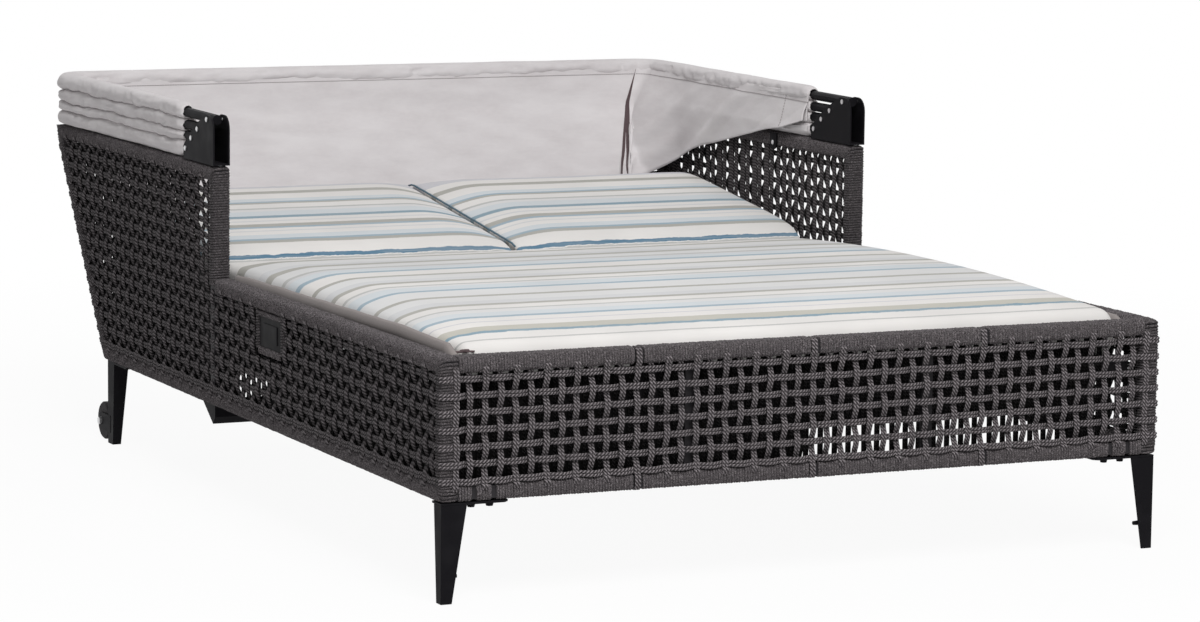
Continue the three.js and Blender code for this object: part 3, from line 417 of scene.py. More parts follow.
SEAT_BANDS = bands(
    cream=(-1200, -955, -866, -827, -716, -431, -282, 108),
    chalk=(-749, -638, -579, -456, -345, -127, -7),
    pale=(-784, -499, -200, 227),
    mist=(-670, -378, -159, -45),
    taupe=(-686, -595, -397, -300, -75, 70),
    olive=(-899,),
    stone=(-962, -724, -441, -143, 206),
    lavender=(-832,),
    blue=(-797, -514, -221),
    teal=(-913,),
)
BACK_BANDS = bands(
    cream=(-43, -31, 61, 93, 144, 172, 274, 352, 419),
    chalk=(247,),
    pale=(35, 211, 328),
    mist=(-200, 86, 164, 560),
    taupe=(10, 122, 307, 395),
    stone=(-47, 264),
    lavender=(459,),
    blue=(25, 110, 318),
    teal=(192,),
    deep=(-40,),
)


@dataclass(frozen=True)
class StripeFinish:
    """Woven cotton striped across the bed, read from the cloth's run along it."""

    bands: tuple[Band, ...]
    ragged: float
    ragged_move: float
    run_name: str = "run"
    thread: float = 0.9 * MM
    chunk: int = 10
    tail: int = 60
    ragged_reach: float = 22 * MM

    def stripe_colour(self, paint: Paint, run: Socket) -> Socket:
        """Colour of the bands at a run.

        Args:
            paint: Material under construction.
            run: Distance along the cloth in metres.

        Returns:
            The colour socket.
        """
        colour = None
        for first in range(0, len(self.bands), self.chunk):
            part = self.bands[first : first + self.chunk]
            low = part[0][0]
            rest = self.bands[first + self.chunk :]
            high = rest[0][0] if rest else part[-1][0] + self.tail
            stops = [((mm - low) / (high - low), shade(dye.value)) for mm, dye in part]
            ramp = paint.ramp(paint.span(run, low * MM, high * MM), stops, stepped=True)
            if colour is None:
                colour = ramp
            else:
                past = paint.math("GREATER_THAN", run, low * MM)
                colour = paint.mix(past, colour, ramp)
        return colour

    def build(self, name: str) -> Material:
        """Make the material."""
        paint = Paint(name)
        run = paint.attribute(self.run_name)
        wander = paint.math("MULTIPLY", paint.math("SUBTRACT", paint.noise(9, 1), 0.5), 5.0 * MM)
        frayed = paint.math("MULTIPLY", paint.math("SUBTRACT", paint.noise(260, 2), 0.5), 2.2 * MM)
        near = paint.math("ABSOLUTE", paint.math("SUBTRACT", run, self.ragged))
        torn = paint.math("SUBTRACT", paint.noise(34, 4), 0.5)
        mask = paint.span(near, self.ragged_reach * 0.6, self.ragged_reach, self.ragged_move, 0.0)
        moved = paint.math("ADD", paint.math("ADD", run, wander), frayed)
        moved = paint.math("ADD", moved, paint.math("MULTIPLY", torn, mask))
        stripes = self.stripe_colour(paint, moved)
        parts = paint.node("SeparateXYZ", {0: paint.place()}).outputs
        warp = paint.math("SINE", paint.math("MULTIPLY", parts[0], 2 * math.pi / self.thread))
        weft = paint.math("SINE", paint.math("MULTIPLY", run, 2 * math.pi / self.thread))
        weave = paint.math("MULTIPLY", warp, weft)
        slub = paint.noise(60, 3, stretch=(0.25, 6, 1))
        colour = paint.mix(paint.span(slub, 0.35, 0.75, 0.0, 0.22), stripes, shade("DEDCDA"))
        dusk = paint.mix(paint.span(paint.noise(5, 3), 0.35, 0.75, 0.1, 0.3), colour, shade("ACAAA9"))
        bump = paint.bump(weave, 0.12 * MM, 0.4)
        bump = paint.bump(slub, 0.4 * MM, 0.35, bump)
        bump = paint.bump(paint.noise(28, 4), 2.0 * MM, 0.3, bump)
        paint.set(Base_Color=dusk, Roughness=0.9, Normal=bump)
        paint.set(Sheen_Weight=0.08, Sheen_Roughness=0.6, Specular_IOR_Level=0.2)
        return paint.material


@dataclass(frozen=True)
class CanvasFinish:
    """Plain woven canopy cloth with diagonal creases, painted darker in the creases' low places as shade."""

    # Tones of the creases' high and low places; the darker one is painted shade.
    light: str = "DEDADB"
    dark: str = "D2CDCE"
    thread: float = 1.1 * MM

    def build(self, name: str = "canopy canvas warm grey") -> Material:
        """Make the material."""
        paint = Paint(name)
        place = paint.place()
        parts = paint.node("SeparateXYZ", {0: place}).outputs
        across = paint.math("ADD", parts[0], parts[1])
        warp = paint.math("SINE", paint.math("MULTIPLY", across, 2 * math.pi / self.thread))
        weft = paint.math("SINE", paint.math("MULTIPLY", parts[2], 2 * math.pi / self.thread))
        weave = paint.math("MULTIPLY", warp, weft)
        turned = paint.node(
            "Mapping", {"Vector": place, "Rotation": (0.5, 0.4, 0.3), "Scale": (10, 10, 34)}
        ).outputs[0]
        crease = paint.noise(1.0, 4, at=turned)
        fine = paint.noise(75, 3, stretch=(1, 1, 2.6))
        # Painted shade: the crease noise that makes the bump also darkens the cloth in the creases' low places.
        painted_shade_tone = paint.mix(paint.span(crease, 0.3, 0.7), shade(self.dark), shade(self.light))
        colour = paint.mix(paint.span(fine, 0.4, 0.8, 0.0, 0.25), painted_shade_tone, shade("E4E0E0"))
        bump = paint.bump(crease, 1.2 * MM, 0.4)
        bump = paint.bump(fine, 0.5 * MM, 0.4, bump)
        bump = paint.bump(weave, 0.12 * MM, 0.3, bump)
        paint.set(Base_Color=colour, Roughness=0.92, Normal=bump)
        paint.set(Sheen_Weight=0.08, Sheen_Roughness=0.6, Specular_IOR_Level=0.15)
        return paint.material


@dataclass(frozen=True)
class PlainCloth:
    """One-colour cloth for bands, piping and stitches."""

    name: str
    colour: str

    def build(self) -> Material:
        """Make the material."""
        paint = Paint(self.name)
        fine = paint.noise(320, 3)
        base = shade(self.colour)
        darker = (*(c * 0.62 for c in base[:3]), 1.0)
        colour = paint.mix(paint.span(fine, 0.3, 0.8, 0.0, 0.35), base, darker)
        paint.set(Base_Color=colour, Roughness=0.9, Normal=paint.bump(fine, 0.4 * MM, 0.6))
        paint.set(Sheen_Weight=0.1, Specular_IOR_Level=0.25)
        return paint.material


class Palette:
    """Every material of the bed, built once."""

    def __init__(self) -> None:
        """Build the materials."""
        self.rope = RopeFinish().build()
        self.wrap_rope = RopeFinish(
            body="7C7678", groove="242022", fray=26.0, name="rope charcoal wrapped"
        ).build()
        self.seat_stripes = StripeFinish(SEAT_BANDS, -906 * MM, 15 * MM).build("striped woven cloth seat")
        self.back_stripes = StripeFinish(BACK_BANDS, -35 * MM, 9 * MM).build("striped woven cloth backs")
        self.canvas = CanvasFinish().build()
        self.seam = PlainCloth("canopy seam thread", "A59FA0").build()
        # Pleat colour: painted shade in the canopy's deep corner pleats; the seat's corner tie also uses it as
        # its own dark colour.
        self.pleat = PlainCloth("canopy pleat shade", "5B4C4E").build()
        self.piping = PlainCloth("cushion piping blue grey", "56707F").build()
        self.liner = PlainCloth("rim liner taupe", "8C8583").build()
        # Near-black sheet colour: painted shade seen through the weave.
        self.skirt = PlainCloth("dark backing cloth", "171516").build()
        self.black = MetalFinish("satin black powder coat", "131215", 0.55, specular=0.06).build()
        self.tube = MetalFinish("dark grey powder coat", "2A282A", 0.55, specular=0.15).build()
        self.steel = MetalFinish("brushed stainless", "C4C4C5", 0.3, 1.0, 900, brushed=True).build()
        self.plastic = MetalFinish("moulded black plastic", "0F0E10", 0.6, grain=1500, specular=0.08).build()
        self.tyre = MetalFinish("wheel dark grey rubber", "2B292B", 0.7, grain=400, specular=0.15).build()

    def dress_nodes(self, nodes: dict) -> None:
        """Give each CAD node that stays visible its finish.

        Args:
            nodes: CAD objects by name.
        """
        by_start = {
            "wheel_axle": self.steel,
            "hinge_rod": self.steel,
            "prop_bail": self.steel,
            "bow_rivet": self.steel,
            "wheel_": self.tyre,
            "leg_": self.black,
            "centre_cross_beam": self.black,
            "canopy_bow": self.black,
            "canopy_bracket": self.black,
            "side_cover_plate": self.plastic,
        }
        for name, node in nodes.items():
            finish = next((m for start, m in by_start.items() if name.startswith(start)), self.tube)
            node.data.materials.clear()
            node.data.materials.append(finish)


# ---- meshes and node trees


def make_object(
    name: str,
    points: Iterable[Point],
    faces: Sequence[Sequence[int]] = (),
    edges: Sequence[Sequence[int]] = (),
    material: Material | None = None,
    smooth: bool = True,
) -> Object:
    """A mesh object at the origin.

    Args:
        name: Name of the piece.
        points: Vertex places.
        faces: Corner numbers of each face.
        edges: Loose edges, for chains.
        material: Finish.
        smooth: Whether its faces are shaded smooth.

    Returns:
        The object, linked to the scene.
    """
    mesh = bpy.data.meshes.new(name)
    mesh.from_pydata([tuple(p) for p in points], list(edges), list(faces))
    mesh.update()
    made = bpy.data.objects.new(name, mesh)
    bpy.context.scene.collection.objects.link(made)
    if material:
        mesh.materials.append(material)
    if faces:
        mesh.polygons.foreach_set("use_smooth", [smooth] * len(mesh.polygons))
    return made


def settle(made: Object, body: str, slot: str, *replaced: str) -> Object:
    """Put a finished piece on its body and hide the nodes that it stands for."""
    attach(made, body)
    if replaced:
        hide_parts(*replaced)
    log.info("%s on %s, %d faces", made.name, body, len(made.data.polygons) if made.type == "MESH" else 0)
    return made


def add_float(made: Object, name: str, values: Sequence[float]) -> None:
    """Store a number for each vertex."""
    attribute = made.data.attributes.new(name, "FLOAT", "POINT")
    attribute.data.foreach_set("value", np.asarray(values, np.float32))


def apply_modifiers(made: Object) -> Object:
    """Bake an object's modifiers into its mesh."""
    bpy.context.view_layer.update()
    graph = bpy.context.evaluated_depsgraph_get()
    baked = bpy.data.meshes.new_from_object(made.evaluated_get(graph), depsgraph=graph)
    old = made.data
    made.modifiers.clear()
    made.data = baked
    baked.name = made.name
    bpy.data.meshes.remove(old)
    return made


def bevelled(made: Object, edge: float) -> Object:
    """Turn a closed mesh's faces outwards and round its edges by a width."""
    shape = bmesh.new()
    shape.from_mesh(made.data)
    bmesh.ops.recalc_face_normals(shape, faces=shape.faces)
    shape.to_mesh(made.data)
    shape.free()
    bevel = made.modifiers.new("edge", "BEVEL")
    bevel.width, bevel.segments = edge, 2
    return apply_modifiers(made)


class Tree(Nodes):
    """A geometry node tree under construction, with named inputs."""

    prefix = "GeometryNode"

    def __init__(self, name: str) -> None:
        """Start a tree with one geometry going in and one coming out."""
        super().__init__(bpy.data.node_groups.new(name, "GeometryNodeTree"))
        for way in ("INPUT", "OUTPUT"):
            kind = "NodeSocketGeometry"
            self.tree.interface.new_socket("Geometry", in_out=way, socket_type=kind)
        self.ids: dict[str, str] = {}
        self.entry: Node | None = None

    def start(self, **inputs: str) -> Node:
        """Name the inputs, with each one's socket kind, and place the group input."""
        for key, kind in {**inputs, "Finish": "Material"}.items():
            name = key.replace("_", " ")
            socket = self.tree.interface.new_socket(
                name, in_out="INPUT", socket_type="NodeSocket" + kind
            )
            self.ids[name] = socket.identifier
        self.entry = self.tree.nodes.new("NodeGroupInput")
        return self.entry

    def finish(self, geometry: Socket) -> None:
        """End the tree in Realize Instances and Set Material."""
        real = self.node("RealizeInstances", {0: geometry})
        painted = self.node(
            "SetMaterial", {"Geometry": real.outputs[0], "Material": self.entry.outputs["Finish"]}
        )
        self.node("NodeGroupOutput", {0: painted.outputs[0]})

    def bake(self, made: Object, values: dict) -> Object:
        """Run the tree on an object and keep the result as its plain mesh.

        Args:
            made: Object whose mesh goes in.
            values: Input values by name.

        Returns:
            The same object with the new mesh.
        """
        modifier = made.modifiers.new(self.tree.name, "NODES")
        modifier.node_group = self.tree
        for name, value in values.items():
            modifier[self.ids[name]] = value
        apply_modifiers(made)
        finish = values["Finish"]
        made.data.materials.clear()
        made.data.materials.append(finish)
        return made


def cord_tree(rope: RopeFinish) -> Tree:
    """Tree that lays a round cord along each chain of edges.

    Args:
        rope: Names the attributes that the rope's material reads.

    Returns:
        The tree.
    """
    tree = Tree("cord along chains")
    entry = tree.start(Cord_radius="Float", Cord_sides="Int")
    path = tree.node("MeshToCurve", {0: entry.outputs["Geometry"]})
    along = tree.node("SplineParameter")
    marked = tree.node(
        "StoreNamedAttribute",
        {"Geometry": path.outputs[0], "Name": rope.along_name},
        data_type="FLOAT",
        domain="POINT",
    )
    tree.tree.links.new(along.outputs["Length"], marked.inputs["Value"])
    ring = tree.node(
        "CurvePrimitiveCircle",
        {"Resolution": entry.outputs["Cord sides"], "Radius": entry.outputs["Cord radius"]},
        mode="RADIUS",
    )
    spot = tree.node("InputPosition")
    turned = tree.node(
        "StoreNamedAttribute",
        {"Geometry": ring.outputs[0], "Name": rope.turn_name},
        data_type="FLOAT_VECTOR",
        domain="POINT",
    )
    tree.tree.links.new(spot.outputs[0], turned.inputs["Value"])
    skin = tree.node(
        "CurveToMesh",
        {"Curve": marked.outputs[0], "Profile Curve": turned.outputs[0], "Fill Caps": True},
    )
    smooth = tree.node("SetShadeSmooth", {"Geometry": skin.outputs[0]})
    tree.finish(smooth.outputs[0])
    return tree


def stitch_tree() -> Tree:
    """Tree that sets small stitches end to end along each chain of edges.

    Returns:
        The tree.
    """
    tree = Tree("stitches along chains")
    entry = tree.start(Stitch_length="Float", Stitch_radius="Float")
    path = tree.node("MeshToCurve", {0: entry.outputs["Geometry"]})
    even = tree.node(
        "CurveToPoints", {"Curve": path.outputs[0], "Length": entry.outputs["Stitch length"]}, mode="LENGTH"
    )
    depth = tree.math("MULTIPLY", entry.outputs["Stitch length"], STITCH_SHARE)
    thread = tree.node(
        "MeshCylinder",
        {"Vertices": 6, "Radius": entry.outputs["Stitch radius"], "Depth": depth},
    )
    turn = tree.node("FunctionNodeAlignRotationToVector", {"Vector": even.outputs["Tangent"]}, axis="Z")
    spread = tree.node(
        "InstanceOnPoints",
        {"Points": even.outputs["Points"], "Instance": thread.outputs[0], "Rotation": turn.outputs[0]},
    )
    tree.finish(spread.outputs[0])
    return tree


def chains_object(name: str, chains: Sequence[Chain]) -> Object:
    """An object whose loose edges are open chains, with each point's painted shade where given."""
    points: Chain = []
    edges: list[tuple[int, int]] = []
    for chain in chains:
        start = len(points)
        points.extend(chain)
        edges.extend((start + i, start + i + 1) for i in range(len(chain) - 1))
    made = make_object(name, [p[:3] for p in points], edges=edges)
    add_float(made, RopeFinish.dim_name, [p[3] if len(p) > 3 else 0.0 for p in points])
    return made


# ---- rope work


def never(across: float, height: float) -> bool:
    """Leaves no place of a panel open."""
    return False


@dataclass
class Station:
    """One place along a wrapped rail: its middle and the two half axes of its section."""

    middle: Vector
    across: Vector
    up: Vector


@dataclass(frozen=True)
class Panel:
    """Where a woven panel lies: a point from the distance across, the height and the depth."""

    place: Place
    skip: Opening = never


@dataclass
class RopeWork:
    """The wrapped rails and woven panels of doubled cord."""

    layout: Layout
    palette: Palette
    cord_radius: float = 2.8 * MM
    wrap_radius: float = 2.6 * MM
    pitch: float = 5.0 * MM
    wrap_steps: int = 16
    wrap_sides: int = 5
    weave_sides: int = 6
    square: float = 5.0
    corner_share: float = 0.72
    wrap_jitter: float = 0.4 * MM
    plane_depth: float = 5.6 * MM
    wave: float = 3.6 * MM
    row_wave: float = 2.0 * MM
    proud: float = -0.7 * MM
    edge_inset: float = 28 * MM
    edge_depth: float = 0.2 * MM
    edge_wave: float = 1.8 * MM
    # Painted shade for upright wrap runs and for the side panels' cords, and the share of it kept on the right
    # arm's inner cords.
    post_dim: float = 0.3
    side_dim: float = 0.4
    dense_from: float = 420 * MM
    thin_from: float = 598 * MM
    open_to: float = 200 * MM
    inside_dim: float = 0.5
    side_pitch: float = 27.4 * MM
    row_pitch: float = 28.1 * MM
    foot_pitch: float = 27.45 * MM
    foot_columns: int = 49
    full_columns: tuple[int, ...] = (12, 24, 36)
    notch: tuple[float, float] = (6.2 * MM, 8.8 * MM)
    bolt_gaps: tuple[float, ...] = (589 * MM, 624.5 * MM)
    bolt_gap: float = 3 * MM
    pair_gap: float = 1.0
    wobble: float = 1.0 * MM
    row_wobble: float = 0.5 * MM
    low_push: float = 3.4 * MM
    over_tail: tuple[Pair, ...] = ((9, 5.5), (9, 0.6), (7.2, -0.7), (2.7, -0.7))
    under_tail: tuple[Pair, ...] = ((4.5, 16),)
    full_tail: tuple[Pair, ...] = (
        (27.4, 18), (27.4, 9), (26.6, 3), (24, -0.2), (10, -0.7), (3, -0.4)
    )
    foot_turn: tuple[Pair, ...] = ((9, 0.6), (3.4, 1.6), (1.4, 4.5), (0.9, 10), (1.1, 19), (4, 24))
    rear_turn: tuple[Pair, ...] = ((9, 0.8), (3.4, 2.4), (2.4, 5), (4, 10))
    max_fan: float = 1.55
    low_droop: float = -0.9 * MM
    inner_depth: float = 25 * MM
    inner_shares: tuple[float, ...] = (-0.13, 0.07)
    inner_wobble: float = 1.2 * MM
    # Cords deeper than the lit depth behind a panel's face get painted shade, full after a further run.
    lit_depth: float = 3 * MM
    dim_run: float = 13 * MM

    def __post_init__(self) -> None:
        """Prepare the tree and the seeded random source."""
        self.tree = cord_tree(RopeFinish())
        self.random = np.random.default_rng(SEED)

    # wraps

    def run_stations(self, start: Vector, end: Vector, across: Vector, up: Vector) -> list[Station]:
        """Stations a cord apart from one section's middle to another's, with its half axes."""
        count = max(2, round((end - start).length / self.pitch))
        return [Station(start.lerp(end, (i + 0.5) / count), across, up) for i in range(count)]

    def fan_stations(self, pivot: Vector, across: Vector, first: Vector, last: Vector) -> list[Station]:
        """Stations that fan round an inner corner.

        Args:
            pivot: The inner corner.
            across: Half the section's width.
            first: Half height vector of the run before the corner.
            last: Half height vector of the run after it.

        Returns:
            The stations.
        """
        total = first.angle(last)
        height = first.length
        count = max(3, round(2 * height * total / self.pitch))
        axis = first.cross(last).normalized()
        stations = []
        for i in range(count):
            angle = total * (i + 0.5) / count
            near = min(angle, total - angle)
            reach = 1 + (1 / math.cos(near) - 1) * self.corner_share
            reach = min(reach, self.max_fan)
            up = Matrix.Rotation(angle, 3, axis) @ first * reach
            stations.append(Station(pivot + up, across, up))
        return stations

    def helix(self, stations: Sequence[Station]) -> Chain:
        """One cord wound round a row of stations, a turn for each.

        Args:
            stations: Sections a cord apart.

        Returns:
            The cord's points.
        """
        chain: Chain = []
        inset = self.wrap_radius
        jitter = self.random.uniform(-1, 1, (len(stations) + 1, 2)) * self.wrap_jitter
        for i, here in enumerate(stations):
            after = stations[min(i + 1, len(stations) - 1)]
            # Painted shade on the upright runs of the wraps, such as the posts.
            dim = self.post_dim * abs((after.middle - here.middle).normalized().z)
            for k in range(self.wrap_steps):
                share = k / self.wrap_steps
                angle = 2 * math.pi * share
                c, s = math.cos(angle), math.sin(angle)
                middle = here.middle.lerp(after.middle, share)
                up = here.up.lerp(after.up, share)
                across = here.across
                a = math.copysign(abs(c) ** (2 / self.square), c)
                b = math.copysign(abs(s) ** (2 / self.square), s)
                push = jitter[i, 0] * (1 - share) + jitter[i + 1, 0] * share
                half_a = across.length - inset + push
                half_b = up.length - inset + push
                point = middle + across.normalized() * a * half_a + up.normalized() * b * half_b
                chain.append((*point, dim))
        return chain

    def wound(
        self, side: Side, start: Pair | None, corners: Sequence[tuple[Pair, Pair, Pair]], end: Pair
    ) -> list[Chain]:
        """Wrap the rails of a side from end to end in one cord, fanning at the corners.

        Args:
            side: Which side.
            start: Y and Z of the first rail's start, or None to start at the first corner.
            corners: Inner corners, with the ways out of the rails before and after each.
            end: Y and Z of the last rail's end.

        Returns:
            The cord.
        """
        lay = self.layout
        across = Vector((lay.rail_width / 2, 0, 0))
        at = lambda pair: Vector((side.value * lay.rail_x, *pair))
        way = lambda pair: Vector((0, *pair)) * (lay.rail_height / 2)
        path: list[Station] = []
        last = at(start) if start else None
        for corner, before, after in corners:
            pivot, first, up = at(corner), way(before), way(after)
            if last:
                path += self.run_stations(last, pivot + first, across, first)
            path += self.fan_stations(pivot, across, first, up)
            last = pivot + up
        path += self.run_stations(last, at(end), across, up)
        return [self.helix(path)]

    def side_wraps(self, side: Side) -> list[Chain]:
        """Wraps of a long side's low part: rim, front post and bottom rail."""
        lay = self.layout
        front, inner_top = lay.foot_y + lay.rail_height, lay.rim_z - lay.rail_height
        corners = [
            ((lay.arm_y - lay.rail_height, inner_top), REARWARD, UPWARD),
            ((front, inner_top), UPWARD, FORWARD),
            ((front, lay.leg_z + lay.rail_height), FORWARD, DOWNWARD),
        ]
        return self.wound(side, None, corners, (lay.arm_y, lay.leg_z + lay.rail_height / 2))

    def arm_wraps(self, side: Side) -> list[Chain]:
        """Wraps of an arm: bottom rail, leaning post, arm rail and arm post."""
        lay = self.layout
        rail, half = lay.rail_height, lay.rail_height / 2
        low, top = lay.leg_z + rail, lay.arm_z - rail
        wall = (lay.slope_cos, -lay.slope * lay.slope_cos)
        corners = [
            ((lay.wall_y(low, rail), low), DOWNWARD, wall),
            ((lay.wall_y(top, rail), top), wall, UPWARD),
            ((lay.arm_y + rail, top), UPWARD, FORWARD),
        ]
        start, end = (lay.arm_y, lay.leg_z + half), (lay.arm_y + half, lay.rim_z - half)
        return self.wound(side, start, corners, end)

    def end_wraps(self, foot: bool) -> list[Chain]:
        """Wraps of the two cross rails at the foot end or in the rear wall.

        Args:
            foot: The foot end, or else the rear wall.

        Returns:
            The cords.
        """
        lay = self.layout
        reach = lay.rail_x - lay.rail_width / 2 + self.pitch
        half_h = lay.rail_height / 2
        before, after = self.notch
        full = [self.column_x(i) for i in self.full_columns]
        notches = [(x - before, x + after) for x in full]
        bolts = [(h * x - self.bolt_gap, h * x + self.bolt_gap) for h in (-1, 1) for x in self.bolt_gaps]
        chains = []
        top, bottom = (lay.rim_z if foot else lay.arm_z) - half_h, lay.leg_z + half_h
        for z in (top, bottom):
            gaps = (notches + (bolts if z == bottom else [])) if foot else []
            edges = sorted([-reach, reach] + [edge for gap in gaps for edge in gap])
            if foot:
                middle_y = lay.foot_y + lay.rail_width / 2
                across, up = Vector((0, lay.rail_width / 2, 0)), Vector((0, 0, half_h))
            else:
                half_y = half_h / lay.slope_cos
                middle_y = lay.wall_y(z) - half_y
                across, up = Vector((0, half_y, 0)), Vector((0, lay.slope * half_h, half_h))
            for a, b in zip(edges[::2], edges[1::2]):
                start, end = Vector((a, middle_y, z)), Vector((b, middle_y, z))
                chains.append(self.helix(self.run_stations(start, end, across, up)))
        return chains

    def column_x(self, column: int) -> float:
        """Place across the foot panel of an upright pair."""
        limit = self.layout.half_width - self.edge_inset
        return max(-limit, min(limit, (column - self.foot_columns // 2) * self.foot_pitch))

    # weaves

    def swing(self, place: float, origin: float, pitch: float) -> float:
        """How far a cord leans out (-1) or in (1) between crossings."""
        turn = math.cos(math.pi * (place - origin) / pitch)
        return math.copysign(abs(turn) ** 0.75, turn)

    def dim(self, depth: float) -> float:
        """How much painted shade a cord gets at a depth behind the panel's face."""
        return min(1.0, max(0.0, (depth - self.lit_depth) / self.dim_run))

    def cut_chain(self, points: list[tuple[float, ...]], panel: Panel) -> list[Chain]:
        """Split a cord where the panel is left open and place its points.

        Args:
            points: Distance across, height, depth and the height tested against the opening.
            panel: Where the panel lies.

        Returns:
            The cords that remain.
        """
        chains, chain = [], []
        for s, z, depth, tested in points:
            if panel.skip(s, tested):
                chains.append(chain)
                chain = []
            else:
                chain.append((*panel.place(s, z, depth), self.dim(depth)))
        chains.append(chain)
        return [c for c in chains if len(c) > 2]

    def upright_pair(
        self,
        panel: Panel,
        s: float,
        span: tuple[float, float],
        first_row: float,
        over: bool,
        full: bool = False,
        on_post: bool = False,
    ) -> list[Chain]:
        """Two upright cords side by side, woven through the rows.

        Args:
            panel: Where the panel lies.
            s: Distance across of the pair.
            span: Lowest and highest height of the open bay.
            first_row: Height of the lowest row of the whole panel.
            over: Whether the pair lies outside at the lowest row.
            full: Whether the pair runs over the whole of both rails.
            on_post: Whether the pair lies on the wraps of a corner post.

        Returns:
            The cords.
        """
        low, high = span
        count = max(2, math.ceil((high - low) / (self.row_pitch / 4)))
        heights = [low + (high - low) * i / count for i in range(count + 1)]
        lean, phase = self.random.normal(0, self.wobble / 2), self.random.uniform(0, 6)
        sign = -1 if over else 1
        centre, wave = (self.edge_depth, self.edge_wave) if on_post else (self.plane_depth, self.wave)
        depth_at = lambda z: centre + sign * wave * self.swing(z, first_row, self.row_pitch)
        tails = {True: self.over_tail, False: self.under_tail}
        if full:
            tails = dict.fromkeys(tails, self.full_tail)
        run = [(low - a * MM, depth * MM) for a, depth in tails[depth_at(low) < centre]]
        run += [(z, depth_at(z)) for z in heights]
        run += [(high + a * MM, depth * MM) for a, depth in reversed(tails[depth_at(high) < centre])]
        chains = []
        for which in (-1, 1):
            offset = which * self.cord_radius * self.pair_gap
            points = []
            for z, depth in run:
                sway = self.wobble * math.sin(phase + z * 61) + lean
                points.append((s + offset + sway, z, depth, z))
            chains += self.cut_chain(points, Panel(panel.place, lambda a, z: panel.skip(s, z)))
        return chains

    def row_pair(
        self,
        panel: Panel,
        height: float,
        columns: Sequence[float],
        out_first: bool,
        heads: tuple[Sequence[Point], Sequence[Point]],
        lowest: bool,
    ) -> list[Chain]:
        """Two level cords, one above the other, woven through the columns.

        Args:
            panel: Where the panel lies.
            height: Height of the row.
            columns: Distances across of the upright pairs, in order.
            out_first: Whether the row lies outside at the first upright.
            heads: Tails at the start and the end, as distance across, rise and depth.
            lowest: Whether it is the lowest row, which stands out a little.

        Returns:
            The cords.
        """
        chains = []
        pitch = columns[1] - columns[0] if len(columns) > 1 else self.side_pitch
        push = self.low_push if lowest else 0.0
        phase = self.random.uniform(0, 6)
        sign = -1 if out_first else 1
        run = list(heads[0])
        run.append((columns[0] - pitch / 2, 0, self.plane_depth - push))
        for number, s in enumerate(columns):
            side = sign if number % 2 == 0 else -sign
            depth = self.plane_depth - push + side * self.row_wave
            droop = self.low_droop if lowest and side < 0 else 0.0
            run += [(s - pitch * 0.22, droop, depth), (s + pitch * 0.22, droop, depth)]
        run.append((columns[-1] + pitch / 2, 0, self.plane_depth - push))
        run += list(heads[1])
        for which in (-1, 1):
            rise = which * self.cord_radius * self.pair_gap
            points = []
            for s, lift, depth in run:
                sag = self.row_wobble * (math.sin(phase + s * 23) + 0.6 * math.sin(phase * 2 + s * 71))
                points.append((s, height + rise + lift + sag, depth, height))
            chains += self.cut_chain(points, panel)
        return chains

    def corner_heads(self, row: int, turn: Sequence[tuple[float, float]]) -> tuple[list[Point], list[Point]]:
        """Tails of a row that crosses the outermost pairs and bends round both corners.

        Args:
            row: Number of the row.
            turn: Distances in from the side and depths, in millimetres.

        Returns:
            The tails at the start and at the end.
        """
        edge = self.layout.half_width
        depth = self.edge_depth + (self.edge_wave if row % 2 == 0 else -self.edge_wave)
        bend = [(edge - self.edge_inset + reach * MM, 0, depth) for reach in (-6, 6)]
        bend += [(edge - inset * MM, 0, deep * MM) for inset, deep in turn]
        return [(-s, up, deep) for s, up, deep in reversed(bend)], bend

    def rows_between(self, low: float, high: float) -> list[float]:
        """Heights of the rows in a bay, from the lowest up."""
        first = low + 5 * MM
        count = int((high - first - 4 * MM) / self.row_pitch) + 1
        return [first + i * self.row_pitch for i in range(count)]

    def corner_panel(
        self,
        panel: Panel,
        span: tuple[float, float],
        turn: Sequence[tuple[float, float]],
        full: Sequence[int] = (),
    ) -> list[Chain]:
        """A panel across the bed, whose rows cross the outermost pairs and bend round the corners.

        Args:
            panel: Where the panel lies.
            span: Lowest and highest height of the open bay.
            turn: Distances in from the side and depths round a corner, in millimetres.
            full: Numbers of the pairs that run over both rails.

        Returns:
            The cords.
        """
        rows = self.rows_between(*span)
        last = self.foot_columns - 1
        columns = [self.column_x(i) for i in range(self.foot_columns)]
        chains: list[Chain] = []
        for i, s in enumerate(columns):
            chains += self.upright_pair(
                panel, s, span, rows[0], i % 2 == 0, i in full, i in (0, last)
            )
        for row, z in enumerate(rows):
            heads = self.corner_heads(row, turn)
            inside = columns[1:-1]
            chains += self.row_pair(panel, z, inside, row % 2 == 0, heads, row == 0)
        return chains

    def foot_weave(self) -> list[Chain]:
        """The woven panel of the foot end, its rows bent round both corners."""
        lay = self.layout
        low, high = lay.leg_z + lay.rail_height, lay.rim_z - lay.rail_height
        place = lambda s, z, depth: Vector((s, lay.foot_y + depth, z))
        panel = Panel(place, lambda s, z: s > self.thin_from)
        chains = self.corner_panel(Panel(place), (low, high), self.foot_turn, self.full_columns)
        columns = [self.column_x(i) for i in range(1, self.foot_columns - 1)]
        return chains + self.inner_layer(panel, columns, self.foot_pitch, lambda s: (low, high))

